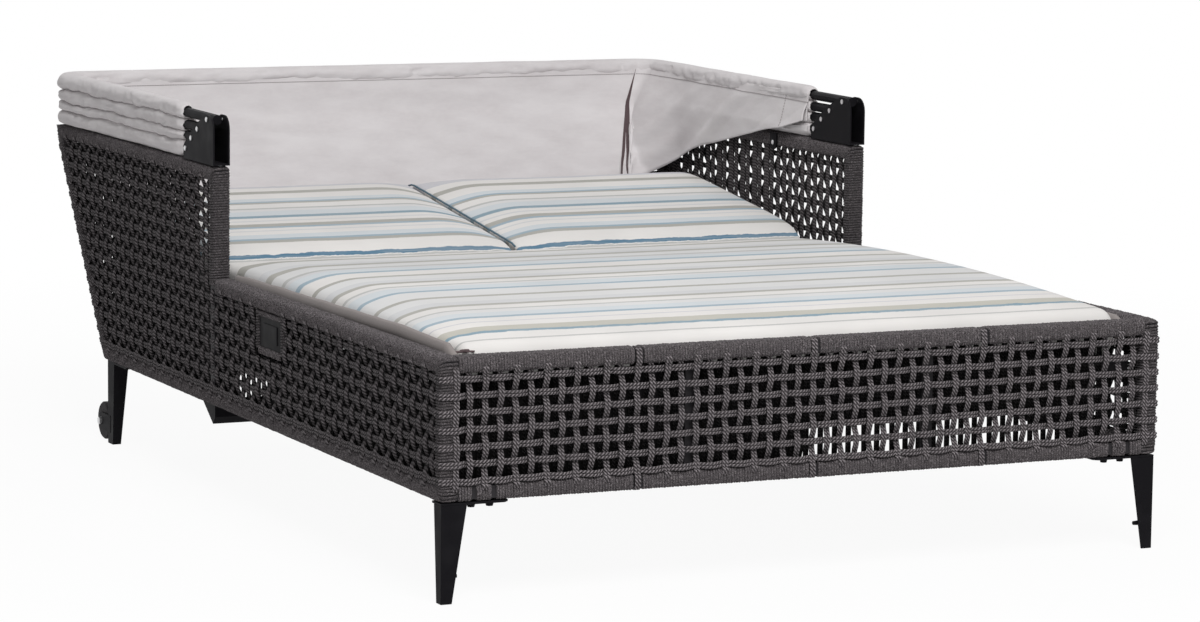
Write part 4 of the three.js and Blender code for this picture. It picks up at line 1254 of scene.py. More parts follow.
    def inner_layer(
        self,
        panel: Panel,
        columns: Sequence[float],
        pitch: float,
        span: Callable[[float], Pair],
        shift: float = 0.0,
    ) -> list[Chain]:
        """Straight upright cords behind a panel.

        Args:
            panel: Where the panel lies.
            columns: Distances across of the upright pairs.
            pitch: Distance between them.
            span: Lowest and highest height of the open bay at a distance across.
            shift: Distance across from each pair, as a share of the pitch.

        Returns:
            The cords.
        """
        chains = []
        depth = self.inner_depth
        for s in columns:
            low, high = span(s)
            if panel.skip(s, (low + high) / 2):
                continue
            lean = self.random.normal(0, self.inner_wobble, 2)
            for share in self.inner_shares:
                foot, head = s + (share + shift) * pitch + lean
                ends = [(foot, low - 6 * MM, depth - 5 * MM), (foot, low + 4 * MM, depth)]
                ends += [(head, high - 4 * MM, depth), (head, high + 6 * MM, depth - 5 * MM)]
                # The inner cords get full painted shade.
                chains.append([(*panel.place(x, z, d), 1.0) for x, z, d in ends])
        return chains

    def shaded(self, chains: list[Chain]) -> list[Chain]:
        """The same cords, with the extra painted shade of the side panels."""
        more = self.side_dim
        return [[(x, y, z, min(1.0, dim + more)) for x, y, z, dim in chain] for chain in chains]

    def low_side_weave(self, side: Side, pocket: "CoverPocket | None") -> list[Chain]:
        """The woven panel of a long side, from the front post to the arm."""
        lay, hand = self.layout, side.value
        low, high = lay.leg_z + lay.rail_height, lay.rim_z - lay.rail_height
        front = lay.foot_y + lay.rail_height
        count = round((lay.arm_y - front) / self.side_pitch)
        pitch = (lay.arm_y - front) / count
        columns = [-lay.arm_y + (i + 0.5) * pitch for i in range(count)]
        rows = self.rows_between(low, high)
        place = lambda s, z, depth: Vector((hand * (lay.half_width - depth), -s, z))
        skip = pocket.covers if pocket else never
        panel = Panel(place, lambda s, z: skip(-s, z))
        chains: list[Chain] = []
        for i, s in enumerate(columns):
            chains += self.upright_pair(panel, s, (low, high), rows[0], i % 2 == 1)
        corner = -lay.foot_y
        for row, z in enumerate(rows):
            start = [(-lay.arm_y - 0.3 * MM, 0, self.plane_depth)]
            depths = ((27, 1.6 * MM), (21, self.proud), (17, 2 * MM))
            heads = (start, [(corner - inset * MM, 0, depth) for inset, depth in depths])
            chains += self.row_pair(panel, z, columns, row % 2 == 0, heads, row == 0)
        chains += self.inner_layer(panel, columns, pitch, lambda s: (low, high))
        return self.shaded(chains)

    def arm_weave(self, side: Side) -> list[Chain]:
        """The woven panel of an arm, from the low side to the leaning wall."""
        lay, hand = self.layout, side.value
        low, high = lay.leg_z + lay.rail_height, lay.arm_z - lay.rail_height
        panel = Panel(lambda s, z, depth: Vector((hand * (lay.half_width - depth), s, z)))
        last = lay.wall_y(high, lay.rail_height)
        count = int((last - lay.arm_y) / self.side_pitch)
        columns = [lay.arm_y + (i + 0.5) * self.side_pitch for i in range(count)]
        rows = self.rows_between(low, high)
        chains: list[Chain] = []
        post_y = lay.arm_y + lay.rail_height

        def bottom(y: float) -> float:
            """Lowest open height at a place along the arm."""
            on_wall = lay.arm_z - (lay.head_y - lay.rail_height / lay.slope_cos - y) / lay.slope
            return max(low, on_wall)

        for i, s in enumerate(columns):
            top = high if s > post_y else lay.rim_z
            if top - bottom(s) > self.row_pitch * 0.6:
                chains += self.upright_pair(panel, s, (bottom(s), top), rows[0], i % 2 == 0)
        for row, z in enumerate(rows):
            stop = lay.wall_y(z, lay.rail_height)
            inside = [c for c in columns if c < stop - 5 * MM and (z < lay.rim_z or c > post_y)]
            first = columns.index(inside[0])
            if z < lay.rim_z:
                start = [(lay.arm_y + 0.3 * MM, 0, self.plane_depth)]
            else:
                start = [(post_y - 12 * MM, 0, 12 * MM), (post_y - 3 * MM, 0, 7 * MM)]
            depths = ((5, 0.4 * MM), (16, self.proud), (21, 4 * MM))
            heads = (start, [(stop + reach * MM, 0, depth) for reach, depth in depths])
            out_first = (row + first) % 2 == 1
            chains += self.row_pair(panel, z, inside, out_first, heads, row == 0)
        open_to = self.open_to if side is Side.LEFT else 0.0
        backed = [c for c in columns if high - bottom(c) > 2 * self.row_pitch and c > open_to]
        span = lambda s: (bottom(s), high if s > post_y else lay.rim_z)
        inner = self.inner_layer(panel, backed, self.side_pitch, span, 0.5)
        # Painted shade on the inner cords: full on the left arm, half on the right.
        share = self.inside_dim if side is Side.RIGHT else 1.0
        # Extra inner cords behind the rear part add painted shade there.
        rear = [c for c in backed if c > self.dense_from][::2]
        inner += self.inner_layer(panel, rear, self.side_pitch, span, 0.24)
        inner_with_painted_shade = [[(x, y, z, dim * share) for x, y, z, dim in chain] for chain in inner]
        return self.shaded(chains) + inner_with_painted_shade

    def rear_weave(self) -> list[Chain]:
        """The woven panel of the leaning rear wall."""
        lay = self.layout
        low = (lay.leg_z + lay.rail_height) / lay.slope_cos
        high = (lay.arm_z - lay.rail_height) / lay.slope_cos
        place = lambda s, run, depth: Vector(
            (
                s,
                lay.wall_y(run * lay.slope_cos) - depth * lay.slope_cos,
                run * lay.slope_cos + depth * lay.slope * lay.slope_cos,
            )
        )
        return self.corner_panel(Panel(place), (low, high), self.rear_turn)

    # pieces

    def lay_cord(self, name: str, chains: list[Chain], wrap: bool, *replaced: str) -> None:
        """Turn chains into one cord piece on the root body.

        Args:
            name: Name of the piece.
            chains: Paths of its cords.
            wrap: Whether they are the flatter cords of a wrap.
            replaced: Nodes that the piece stands for.
        """
        woven = (self.cord_radius, self.weave_sides)
        radius, sides = (self.wrap_radius, self.wrap_sides) if wrap else woven
        finish = self.palette.wrap_rope if wrap else self.palette.rope
        values = {"Cord radius": radius, "Cord sides": sides, "Finish": finish}
        made = self.tree.bake(chains_object(name, chains), values)
        settle(made, "root", "rope", *replaced)

    def build(self) -> None:
        """Make every wrap and weave."""
        pocket = CoverPocket(self)
        self.lay_cord("foot_weave", self.foot_weave(), False, "rope_foot")
        self.lay_cord("foot_wrap", self.end_wraps(True), True)
        self.lay_cord("rear_weave", self.rear_weave(), False, "rope_rear")
        self.lay_cord("rear_wrap", self.end_wraps(False), True)
        for side in Side:
            hole = pocket if side is Side.LEFT else None
            low = self.low_side_weave(side, hole)
            self.lay_cord(f"low_weave_{side.label}", low, False, f"rope_side_low_{side.label}")
            self.lay_cord(f"low_wrap_{side.label}", self.side_wraps(side), True)
            arm = self.arm_weave(side)
            self.lay_cord(f"arm_weave_{side.label}", arm, False, f"rope_side_arm_{side.label}")
            self.lay_cord(f"arm_wrap_{side.label}", self.arm_wraps(side), True)
        self.lay_cord("pocket_wrap", pocket.wraps(), True)


@dataclass
class CoverPocket:
    """The wrapped surround of the black cover in the left side."""

    rope: RopeWork
    wall: float = 15 * MM
    depth: float = 18 * MM

    def __post_init__(self) -> None:
        """Read the cover's place."""
        low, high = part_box("side_cover_plate")
        self.low, self.high = low, high

    def covers(self, y: float, z: float) -> bool:
        """Whether a place in the left side is taken by the cover and its surround."""
        inside_y = self.low.y - self.wall < y < self.high.y + self.wall
        return inside_y and z > self.low.z - self.wall

    def wraps(self) -> list[Chain]:
        """Cords wound round the two upright bars and the bar below."""
        x = -self.rope.layout.half_width + self.depth / 2 + 1 * MM
        half_x, half_w = self.depth / 2, self.wall / 2
        chains = []
        top = self.rope.layout.rim_z - self.rope.layout.rail_height
        bottom = self.low.z - half_w
        for y in (self.low.y - half_w, self.high.y + half_w):
            path = self.rope.run_stations(
                Vector((x, y, bottom)), Vector((x, y, top)), Vector((half_x, 0, 0)), Vector((0, half_w, 0))
            )
            chains.append(self.rope.helix(path))
        for z, half in ((bottom, half_w), ((self.high.z + top) / 2, (top - self.high.z) / 2 + 0.5 * MM)):
            ends = [Vector((x, y, z)) for y in (self.low.y, self.high.y)]
            path = self.rope.run_stations(*ends, Vector((half_x, 0, 0)), Vector((0, 0, half)))
            chains.append(self.rope.helix(path))
        return chains


# ---- cushions


@dataclass
class Cushion:
    """A closed foam cushion with a side view swept across the bed."""

    name: str
    body: str
    outline: list[tuple[float, float]]
    x0: float
    x1: float
    place: Callable[[float, float], tuple[float, float]]
    run_origin: float
    finish: Material
    corner: float = 26 * MM
    crown: float = 24 * MM
    crown_power: float = 2.2
    soft: tuple[float, float] = (90 * MM, 90 * MM)
    spacing: float = 13 * MM
    cap: float = 2.5 * MM
    pressure: float = 4.0
    frames: int = 20

    def resampled(self) -> tuple[np.ndarray, np.ndarray]:
        """Even points along the closed side view, with their run from the start.

        Returns:
            The points and the run of each.
        """
        points = np.array(self.outline + [self.outline[0]])
        steps = np.linalg.norm(np.diff(points, axis=0), axis=1)
        runs = np.concatenate([[0], np.cumsum(steps)])
        count = round(runs[-1] / self.spacing)
        wanted = np.linspace(0, runs[-1], count, endpoint=False)
        out = np.stack([np.interp(wanted, runs, points[:, i]) for i in (0, 1)], axis=1)
        return out, wanted

    def mesh(self) -> Object:
        """The cushion's skin as a closed grid before it is filled."""
        ring, runs = self.resampled()
        half = (self.x1 - self.x0) / 2
        centre_x = (self.x0 + self.x1) / 2
        low, high = ring.min(axis=0), ring.max(axis=0)
        middle = (low + high) / 2
        mid = middle[1]
        ease = lambda share: 1 - (1 - min(1.0, max(0.0, share))) ** 2
        inside = half - self.corner
        straight = np.linspace(-inside, inside, max(4, round(2 * inside / self.spacing)))
        arcs = np.linspace(0, math.pi / 2, 6)[1:]
        stations = [(-inside - self.corner * math.sin(a), a) for a in reversed(arcs)]
        stations += [(x, 0.0) for x in straight]
        stations += [(inside + self.corner * math.sin(a), a) for a in arcs]
        points, run_values, rings = [], [], []
        thickness = high[1] - low[1]
        for x, angle in stations:
            inset = self.corner * (1 - math.cos(angle))
            k = max(0.12, 1 - inset / (thickness / 2))
            rings.append(len(points))
            for (s, n), run in zip(ring, runs):
                along = middle[0] + (s - middle[0]) * (1 - 2 * inset * 0.6 / (high[0] - low[0]))
                across = mid + (n - mid) * k
                wide = ease((half + x) / self.soft[0]) * ease((half - x) / self.soft[1])
                fore = abs(s - middle[0]) / ((high[0] - low[0]) / 2)
                swell = self.crown * wide * max(0.0, 1 - fore**self.crown_power) if n > mid else 0.0
                y, z = self.place(along, across + swell)
                points.append((centre_x + x, y, z))
                run_values.append(self.run_origin - run)
        count = len(ring)
        faces = []
        for a, b in zip(rings, rings[1:]):
            for i in range(count):
                j = (i + 1) % count
                faces.append((a + i, a + j, b + j, b + i))
        made = make_object(self.name, points, faces, material=self.finish)
        add_float(made, "run", run_values)
        self.close_ends(made, rings, ring)
        return made

    def close_ends(self, made: Object, rings: list[int], ring: np.ndarray) -> None:
        """Close the two side ends by joining the upper and lower halves of their rings."""
        count = len(ring)
        start = int(np.argsort(ring[:, 0])[0])
        mesh = made.data
        shape = bmesh.new()
        shape.from_mesh(mesh)
        shape.verts.ensure_lookup_table()
        pairs = [((start - i) % count, (start + 1 + i) % count) for i in range(count // 2)]
        for base in (rings[0], rings[-1]):
            for (a, b), (c, d) in zip(pairs, pairs[1:]):
                corners = dict.fromkeys([base + a, base + b, base + d, base + c])
                if len(corners) < 3:
                    continue
                try:
                    shape.faces.new([shape.verts[i] for i in corners])
                except ValueError:
                    continue
        bmesh.ops.holes_fill(shape, edges=[e for e in shape.edges if e.is_boundary], sides=0)
        bmesh.ops.recalc_face_normals(shape, faces=shape.faces)
        for face in shape.faces:
            face.smooth = True
        shape.to_mesh(mesh)
        shape.free()

    def fill(self, made: Object) -> None:
        """Inflate the skin with a short cloth simulation, with each move capped."""
        mesh = made.data
        before = np.zeros(len(mesh.vertices) * 3, np.float32)
        mesh.vertices.foreach_get("co", before)
        before = before.reshape(-1, 3)
        cloth = made.modifiers.new("fill", "CLOTH")
        settings = cloth.settings
        settings.quality, settings.mass = 6, 0.3
        settings.tension_stiffness = settings.compression_stiffness = 18
        settings.bending_stiffness, settings.use_pressure = 2.0, True
        settings.uniform_pressure_force = self.pressure
        settings.effector_weights.gravity = 0
        cloth.collision_settings.use_collision = False
        cloth.point_cache.frame_start = 1
        cloth.point_cache.frame_end = self.frames
        scene = bpy.context.scene
        for frame in range(1, self.frames + 1):
            scene.frame_set(frame)
        graph = bpy.context.evaluated_depsgraph_get()
        after = np.zeros_like(before).reshape(-1)
        made.evaluated_get(graph).data.vertices.foreach_get("co", after)
        after = after.reshape(-1, 3)
        made.modifiers.clear()
        scene.frame_set(1)
        move = after - before
        length = np.linalg.norm(move, axis=1, keepdims=True)
        share = np.minimum(1, self.cap / np.maximum(length, 1e-9))
        mesh.vertices.foreach_set("co", (before + move * share).astype(np.float32).reshape(-1))
        mesh.update()

    def build(self, *replaced: str) -> Object:
        """Make, fill and smooth the cushion."""
        made = self.mesh()
        self.fill(made)
        smooth = made.modifiers.new("smooth", "SUBSURF")
        smooth.levels = smooth.render_levels = 1
        apply_modifiers(made)
        settle(made, self.body, "striped_cloth", *replaced)
        return made


@dataclass
class Bedding:
    """The full-width seat cushion and the two back cushions."""

    layout: Layout
    palette: Palette
    hinge_y: float = 270 * MM
    hinge_z: float = 325 * MM
    incline: float = math.radians(7.2)
    lifted_keep: float = 0.8
    back_length: float = 536 * MM
    back_bottom: float = 13.5 * MM
    back_top: float = 104 * MM
    inner: float = 4 * MM
    outer: float = 630 * MM

    def seat(self) -> None:
        """Build the seat cushion, scooped behind for the backs' noses."""
        low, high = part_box("seat_cushion")
        front, back = low.y + 4 * MM, high.y
        bottom, top = low.z, high.z - 9.3 * MM
        r = 24 * MM
        outline = [(back, top)]
        outline += [(front + r, top)]
        outline += [(front + r - r * math.sin(a), top - r + r * math.cos(a)) for a in np.linspace(0.2, 1.45, 5)]
        outline += [(front, bottom + r)]
        outline += [
            (front + r - r * math.cos(a), bottom + r - r * math.sin(a))
            for a in np.linspace(0.2, 1.45, 4)
        ]
        scoop = ((24, 0), (10, 20), (0, 45))
        outline += [(back - inset * MM, bottom + rise * MM) for inset, rise in scoop]
        made = Cushion(
            "seat_pad",
            "root",
            outline,
            low.x + 4 * MM,
            high.x - 4 * MM,
            lambda s, n: (s, n),
            back,
            self.palette.seat_stripes,
            corner=17 * MM,
            soft=(90 * MM, 30 * MM),
        )
        made.build("seat_cushion")
        self.corner_tie(Vector((low.x + 10 * MM, low.y + 10 * MM, high.z - 20 * MM)))

    def corner_tie(self, spot: Vector) -> None:
        """Dark looped tie at the front corner of the seat cushion."""
        random = np.random.default_rng(SEED)
        chains = []
        for k in range(3):
            turn, reach = random.uniform(-0.5, 0.5), random.uniform(8, 12) * MM
            loop = []
            for a in np.linspace(0, 2 * math.pi, 12, endpoint=False):
                flat = Vector((reach * math.cos(a) + (k - 1) * 5 * MM, 3 * MM * math.sin(a), 0))
                loop.append(tuple(spot + Matrix.Rotation(turn, 3, "Z") @ flat + Vector((0, 0, k % 2 * 2 * MM))))
            chains.append(loop)
        values = {"Cord radius": 1.6 * MM, "Cord sides": 6, "Finish": self.palette.pleat}
        made = cord_tree(RopeFinish()).bake(chains_object("seat_corner_tie", chains), values)
        settle(made, "root", "rope")

    def back(self, side: Side) -> None:
        """Build one back cushion on its backrest."""
        node = f"back_cushion_{side.label}"
        c, s_ = math.cos(self.incline), math.sin(self.incline)
        place = lambda s, n: (self.hinge_y + s * c - n * s_, self.hinge_z + s * s_ + n * c)
        length, bottom, top = self.back_length, self.back_bottom, self.back_top
        r = 26 * MM
        nose = top - 3 * MM
        outline = [(length - r + r * math.sin(a), top - r + r * math.cos(a)) for a in np.linspace(1.45, 0.1, 5)]
        outline += [(0.0, top)]
        outline += [(-nose * math.sin(a), top - nose + nose * math.cos(a)) for a in np.linspace(0.12, 0.62, 4)]
        outline += [(-52 * MM, 44 * MM), (-34 * MM, 24 * MM), (-14 * MM, bottom)]
        outline += [(length - r, bottom)]
        outline += [
            (length - r + r * math.sin(a), bottom + r - r * math.cos(a))
            for a in np.linspace(0.2, 1.3, 4)
        ]
        front = outline.index((0.0, top))
        steps = np.linalg.norm(np.diff(np.array(outline[: front + 1]), axis=0), axis=1)
        ends = (self.inner, self.outer) if side is Side.RIGHT else (-self.outer, -self.inner)
        soft = (115 * MM, 9 * MM) if side is Side.RIGHT else (9 * MM, 115 * MM)
        made = Cushion(
            f"back_pad_{side.label}",
            f"backrest_{side.label}",
            outline,
            *ends,
            place,
            float(steps.sum()),
            self.palette.back_stripes,
            spacing=12 * MM,
            corner=7 * MM,
            crown=18 * MM,
            crown_power=6.0,
            soft=soft,
        )
        pad = made.build(node)
        pieces = [pad] + ([self.piping(side, pad)] if side is Side.RIGHT else [])
        for piece in pieces:
            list(place(length, 0))
            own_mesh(piece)

    def piping(self, side: Side, pad: Object) -> Object:
        """Corded seam along the inner edge of a back cushion.

        Args:
            side: Which back.
            pad: The finished cushion.

        Returns:
            The piping.
        """
        count = len(pad.data.vertices)
        places = np.zeros(count * 3, np.float32)
        pad.data.vertices.foreach_get("co", places)
        places = places.reshape(-1, 3)
        inner = side.value * 7 * MM
        strip = places[np.abs(places[:, 0] - inner) < 5 * MM]
        chain: Chain = []
        for y in np.linspace(self.hinge_y - 38 * MM, 796 * MM, 40):
            near = strip[np.abs(strip[:, 1] - y) < 9 * MM]
            if len(near):
                chain.append((side.value * 1.8 * MM, float(y), float(near[:, 2].max()) - 0.4 * MM))
        values = {"Cord radius": 2.0 * MM, "Cord sides": 8, "Finish": self.palette.piping}
        made = cord_tree(RopeFinish()).bake(chains_object(f"back_piping_{side.label}", [chain]), values)
        return settle(made, f"backrest_{side.label}", "striped_cloth")

    def build(self) -> None:
        """Make all three cushions."""
        self.seat()
        for side in Side:
            self.back(side)


# ---- linings


@dataclass
class Lining:
    """The taupe cloth inside the rims and the near-black sheets behind the weave, which stand for the shade
    under and inside the bed.
    """

    layout: Layout
    palette: Palette
    cloth: float = 1.5 * MM
    step: float = 20 * MM
    skirt_x: float = 646 * MM
    skirt_front: float = 999.5 * MM
    raised: float = 246 * MM
    dropped: float = 186 * MM
    right_drop: float = 13 * MM

    def sheet(
        self, name: str, lines: list[list[Point]], finish: Material
    ) -> None:
        """Make one hung sheet from its upright lines.

        Args:
            name: Name of the piece.
            lines: Points down each line.
            finish: Material.
        """
        points = [p for line in lines for p in line]
        count = len(lines[0])
        faces = [
            (i * count + j, (i + 1) * count + j, (i + 1) * count + j + 1, i * count + j + 1)
            for i in range(len(lines) - 1)
            for j in range(count - 1)
        ]
        made = make_object(name, points, faces, material=finish)
        wall = made.modifiers.new("cloth", "SOLIDIFY")
        wall.thickness = self.cloth
        wall.offset = 0.0
        apply_modifiers(made)
        settle(made, "root", "rope")

    def liner(self, side: Side) -> None:
        """Cloth between the rim and the cushions, folded over at its top."""
        lay, hand = self.layout, side.value
        start, stop = lay.foot_y + 38 * MM, lay.arm_y - 4 * MM
        section = [(648.6, -26), (648, -12), (645.6, -3), (641.5, 0)]
        section += [(636.5, -1.5), (632.5, -8), (631, -20), (630.5, -34)]
        lines = []
        for y in np.arange(start, stop, self.step / 2):
            wave = noise.noise(Vector((y * 14, hand * 3, SEED))) * 1.6 * MM
            places = [start, -0.96, -0.76, 0.0, stop]
            top = float(np.interp(y, places, [0.404, 0.4215, 0.4262, 0.4165, 0.414]))
            top -= self.right_drop if side is Side.RIGHT else 0.0
            across = wave * 0.3
            lines.append(
                [(hand * (x * MM + across), float(y), top + drop * MM + wave) for x, drop in section]
            )
        self.sheet(f"rim_liner_{side.label}", lines, self.palette.liner)

    def side_skirt(self, side: Side) -> None:
        """Near-black sheet of painted shade behind a long side, from below the deck to the arm's cushion."""
        hand = side.value
        start, stop = (-998 * MM if side is Side.LEFT else -760 * MM), 750 * MM
        low_ends = [self.dropped, self.raised, self.raised, self.dropped]
        lines = []
        for y in np.arange(start, stop, self.step):
            low = float(np.interp(y / MM, [-155, -150, 30, 35], low_ends))
            top = float(np.interp(y / MM, [60, 92, 270, 750], [337, 398, 404, 462])) * MM
            low = max(low, 0.168 + max(0.0, y - 0.7) * 0.6)
            x = self.skirt_x + noise.noise(Vector((y * 6, hand, SEED))) * 1.0 * MM
            lines.append([(hand * x, float(y), z) for z in np.linspace(top, low, 5)])
        self.sheet(f"deck_skirt_{side.label}", lines, self.palette.skirt)

    def foot_skirt(self) -> None:
        """Near-black sheet of painted shade from the deck down behind the foot end."""
        start, stop = -644 * MM, 575 * MM
        lines = []
        for x in np.arange(start, stop + self.step / 2, self.step / 2):
            low = float(np.interp(x / MM, [-5, 7, 393, 500, 510, 520], [186, 253, 253, 216, 212, 186])) * MM
            y = -self.skirt_front + noise.noise(Vector((x * 6, 1, SEED))) * 0.8 * MM
            lines.append([(float(x), y, z) for z in np.linspace(372 * MM, low, 4)])
        self.sheet("deck_skirt_foot", lines, self.palette.skirt)

    def build(self) -> None:
        """Make every lining."""
        self.foot_skirt()
        for side in Side:
            self.liner(side)
            self.side_skirt(side)


# ---- canopy


@dataclass
class Canopy:
    """Four cloth sleeves on the bows and the drape inside them."""

    layout: Layout
    palette: Palette
    rear_y: float = 1016 * MM
    bend: float = 45 * MM
    start_y: float = 250 * MM
    pivots: tuple = ((217, 638), (185, 660), (150, 680), (97, 702))
    rear_heights: tuple = (632, 656, 680, 706)
    near_edges: tuple = (619.2, 648.7, 669.9, 691.4, 719.5)
    rear_edges: tuple = (619.0, 645.5, 665.3, 690.5, 722)
    hem_places: tuple = (252, 267, 332, 399, 517, 694, 760, 800, 830, 860, 880, 900, 940, 1010)
    hem_heights: tuple = (652, 647, 631, 622, 599, 562, 543, 529, 515, 498, 487, 480, 474, 466)
    half_width: float = 15.5 * MM
    bulge: float = 9 * MM
    step: float = 6 * MM
    around: int = 28
    tuck: float = 0.137
    hang: float = 14 * MM
    pleat_half: float = 14 * MM
    pleat_back: float = 9 * MM
    rear_facing: float = 0.96
    drape_rows: int = 26
    ease_run: float = 60 * MM
    cloth: float = 1.2 * MM
    stitch: float = 5.5 * MM
    stitch_radius: float = 0.8 * MM
    seam_drop: float = 18 * MM
    seam_y: float = 343 * MM
    rear_hem: float = 463 * MM

    def path(self) -> list[tuple[float, float, float, float]]:
        """Places a step apart along the U of the bows.

        Returns:
            Rows of x, y and the outward direction's x and y.
        """
        x0, r = self.layout.rail_x, self.bend
        straight = self.rear_y - r - self.start_y
        arc = r * math.pi / 2
        rear = x0 - r
        total = straight + arc + rear
        count = round(total / self.step)
        rows = []
        for i in range(count + 1):
            d = total * i / count
            if d <= straight:
                rows.append((-x0, self.start_y + d, -1.0, 0.0))
            elif d <= straight + arc:
                a = (d - straight) / r
                c, s = math.cos(a), math.sin(a)
                rows.append((-x0 + r - r * c, self.rear_y - r + r * s, -c, s))
            else:
                rows.append((-x0 + r + d - straight - arc, self.rear_y, 0.0, 1.0))
        mirrored = [(-x, y, -dx, dy) for x, y, dx, dy in reversed(rows[:-1])]
        return rows + mirrored

    def bow_height(self, k: int, y: float) -> float:
        """Height of bow k above a place along the bed."""
        pivot_y, pivot_z = (v * MM for v in self.pivots[k - 1])
        return pivot_z + (y - pivot_y) * (self.rear_heights[k - 1] * MM - pivot_z) / (self.rear_y - pivot_y)

    def edge(self, i: int, x: float, y: float) -> float:
        """Height of the crease between two rolls, counted from the lowest edge up."""
        share = min(1.0, max(0.0, (y - self.start_y) / (self.rear_y - self.start_y)))
        level = self.near_edges[i] * (1 - share) + self.rear_edges[i] * share
        if i in (0, 4):
            return (level + 0.8 * noise.noise(Vector((x * 11, y * 11, i)))) * MM
        slow = noise.noise(Vector((x * 8, y * 8, i * 4.7)))
        quick = noise.noise(Vector((x * 30, y * 30, i * 2.9)))
        return (level + (7.5 * slow + 3.2 * quick)) * MM

    def sleeve(self, k: int) -> Object:
        """The gathered sleeve on bow k, a hollow roll with puckers."""
        rows = self.path()
        points, faces = [], []
        total = len(rows)
        seedling = Vector((k * 7.3, k * 3.1, SEED))
        for i, (x, y, dx, dy) in enumerate(rows):
            near = max(0.0, 1 - min(i, total - 1 - i) * self.step / (26 * MM))
            low, high = self.edge(k - 1, x, y), self.edge(k, x, y)
            bow = self.bow_height(k, y)
            for j in range(self.around):
                a = 2 * math.pi * j / self.around
                c, s = math.cos(a), math.sin(a)
                slant = Vector((x * 26, y * 26, a * 0.9 + (x + y) * 30)) + seedling
                pucker = noise.noise(Vector((x * 14, y * 14, s * 1.8)) + seedling) * 3.4 * MM
                pucker += noise.noise(slant) * 2.8 * MM
                pucker += noise.noise(Vector((x * 110, y * 110, a * 1.1)) + seedling) * 1.7 * MM
                if c < 0 and k < 4:
                    pucker = min(pucker, -1.8 * MM)
                gather = (1 - 0.42 * near**2) * (1 + 0.07 * near * math.sin(a * 7 + k))
                full = self.bulge * min(1.0, max(0.0, (y - 0.7) / 0.25)) if c > 0 else 0.0
                out = (self.half_width + full + pucker) * math.copysign(abs(c) ** 0.8, c) * gather
                half = (high - bow) if s > 0 else (bow - low)
                lift = half * math.copysign(abs(s) ** 0.85, s) * (1 - 0.3 * near**2)
                points.append((x + dx * out, y + dy * out, bow + lift))
        for i in range(total - 1):
            for j in range(self.around):
                m = (j + 1) % self.around
                a, b = i * self.around, (i + 1) * self.around
                faces.append((a + j, b + j, b + m, a + m))
        return make_object(f"canopy_roll_{k}", points, faces, material=self.palette.canvas)

    def hem(self, y: float) -> float:
        """Height of the drape's lower edge along the side."""
        return float(np.interp(y / MM, self.hem_places, self.hem_heights)) * MM

    def inset(self, k: int) -> float:
        """How far inside the bow's middle the sheet of bow k hangs."""
        return self.layout.rail_x - (639 + 3 * (4 - k)) * MM

    def sheet_point(self, k: int, row: tuple, t: float, proud: float = 0.0) -> Point:
        """A point of the sheet that hangs inside bow k.

        Args:
            k: Number of the bow.
            row: Entry of the path along the bow.
            t: Share of the way down.
            proud: Distance in front of the sheet, towards the bed.

        Returns:
            The point.
        """
        x, y, dx, dy = row
        lay = self.layout
        seedling = Vector((k * 2.3, k * 5.1, SEED))
        top = self.bow_height(k, y) + 4 * MM
        hem_rear = self.rear_hem + 2 * MM * math.sin(x * 9 + k)
        hem = self.hem(y) * (1 - dy) + hem_rear * dy + 4 * MM * (4 - k)
        z = top + (min(hem, top - 12 * MM) - top) * t
        calm = 0.3 + 0.7 * abs(dx)
        swing = noise.noise(Vector((x * 4, y * 4, z * 1.5)) + seedling) * 6 * MM * t * calm
        swing += self.crease(y, z) * abs(dx) * min(1.0, 4 * t)
        swing += 1.6 * MM * math.sin(x * 31 + 2 * math.sin(x * 11)) * t * dy
        eased = min(1.0, max(0.0, top - z - self.hang) / self.ease_run)
        reach = self.hang + (self.inset(k) - self.hang) * eased + proud + max(-1.5 * MM, swing)
        px, py = x - dx * reach, y - dy * reach
        corner = min(1.0, max(0.0, (y - 0.8) / 0.17))
        px *= 1 - self.tuck * t * corner**2 * (3 - 2 * corner)
        limit = lay.wall_y(z, lay.rail_height) - 8 * MM - 5 * MM * (k - 1) + min(swing, 2 * MM) - proud
        return (px, min(py, limit), z)

    def crease(self, y: float, z: float) -> float:
        """Depth of the slanting pulls in the side sheets, towards the brackets."""
        lean = (y - 0.25) * 0.55 + (z - 0.62)
        pull = math.sin(lean * 42 + 1.5 * math.sin(y * 9)) * math.exp(-(((y - 0.5) / 0.3) ** 2))
        return 6.4 * MM * pull + 2.6 * MM * math.sin(lean * 90 + y * 12)

    def flap(self, k: int) -> Object:
        """The sheet that hangs inside bow k; on the last bow's sheet, a pleat in each rear corner whose faces
        carry painted shade.
        """
        rows = self.path()
        flat = [i for i, row in enumerate(rows) if row[3] > self.rear_facing]
        pleats = {flat[0], flat[-1]} if k == len(self.pivots) else set()
        columns = self.drape_rows
        points, faces, dark = [], [], []
        strips: list[list[int]] = []

        def add_strip(row: tuple, shift: float, back: float) -> None:
            """Add one upright line of points, moved along the path and outwards."""
            dx, dy = row[2:]
            line = []
            for j in range(columns + 1):
                t = j / columns
                px, py, pz = self.sheet_point(k, row, t)
                line.append(len(points))
                points.append((px - dy * shift * t + dx * back * t, py + dx * shift * t + dy * back * t, pz))
            strips.append(line)

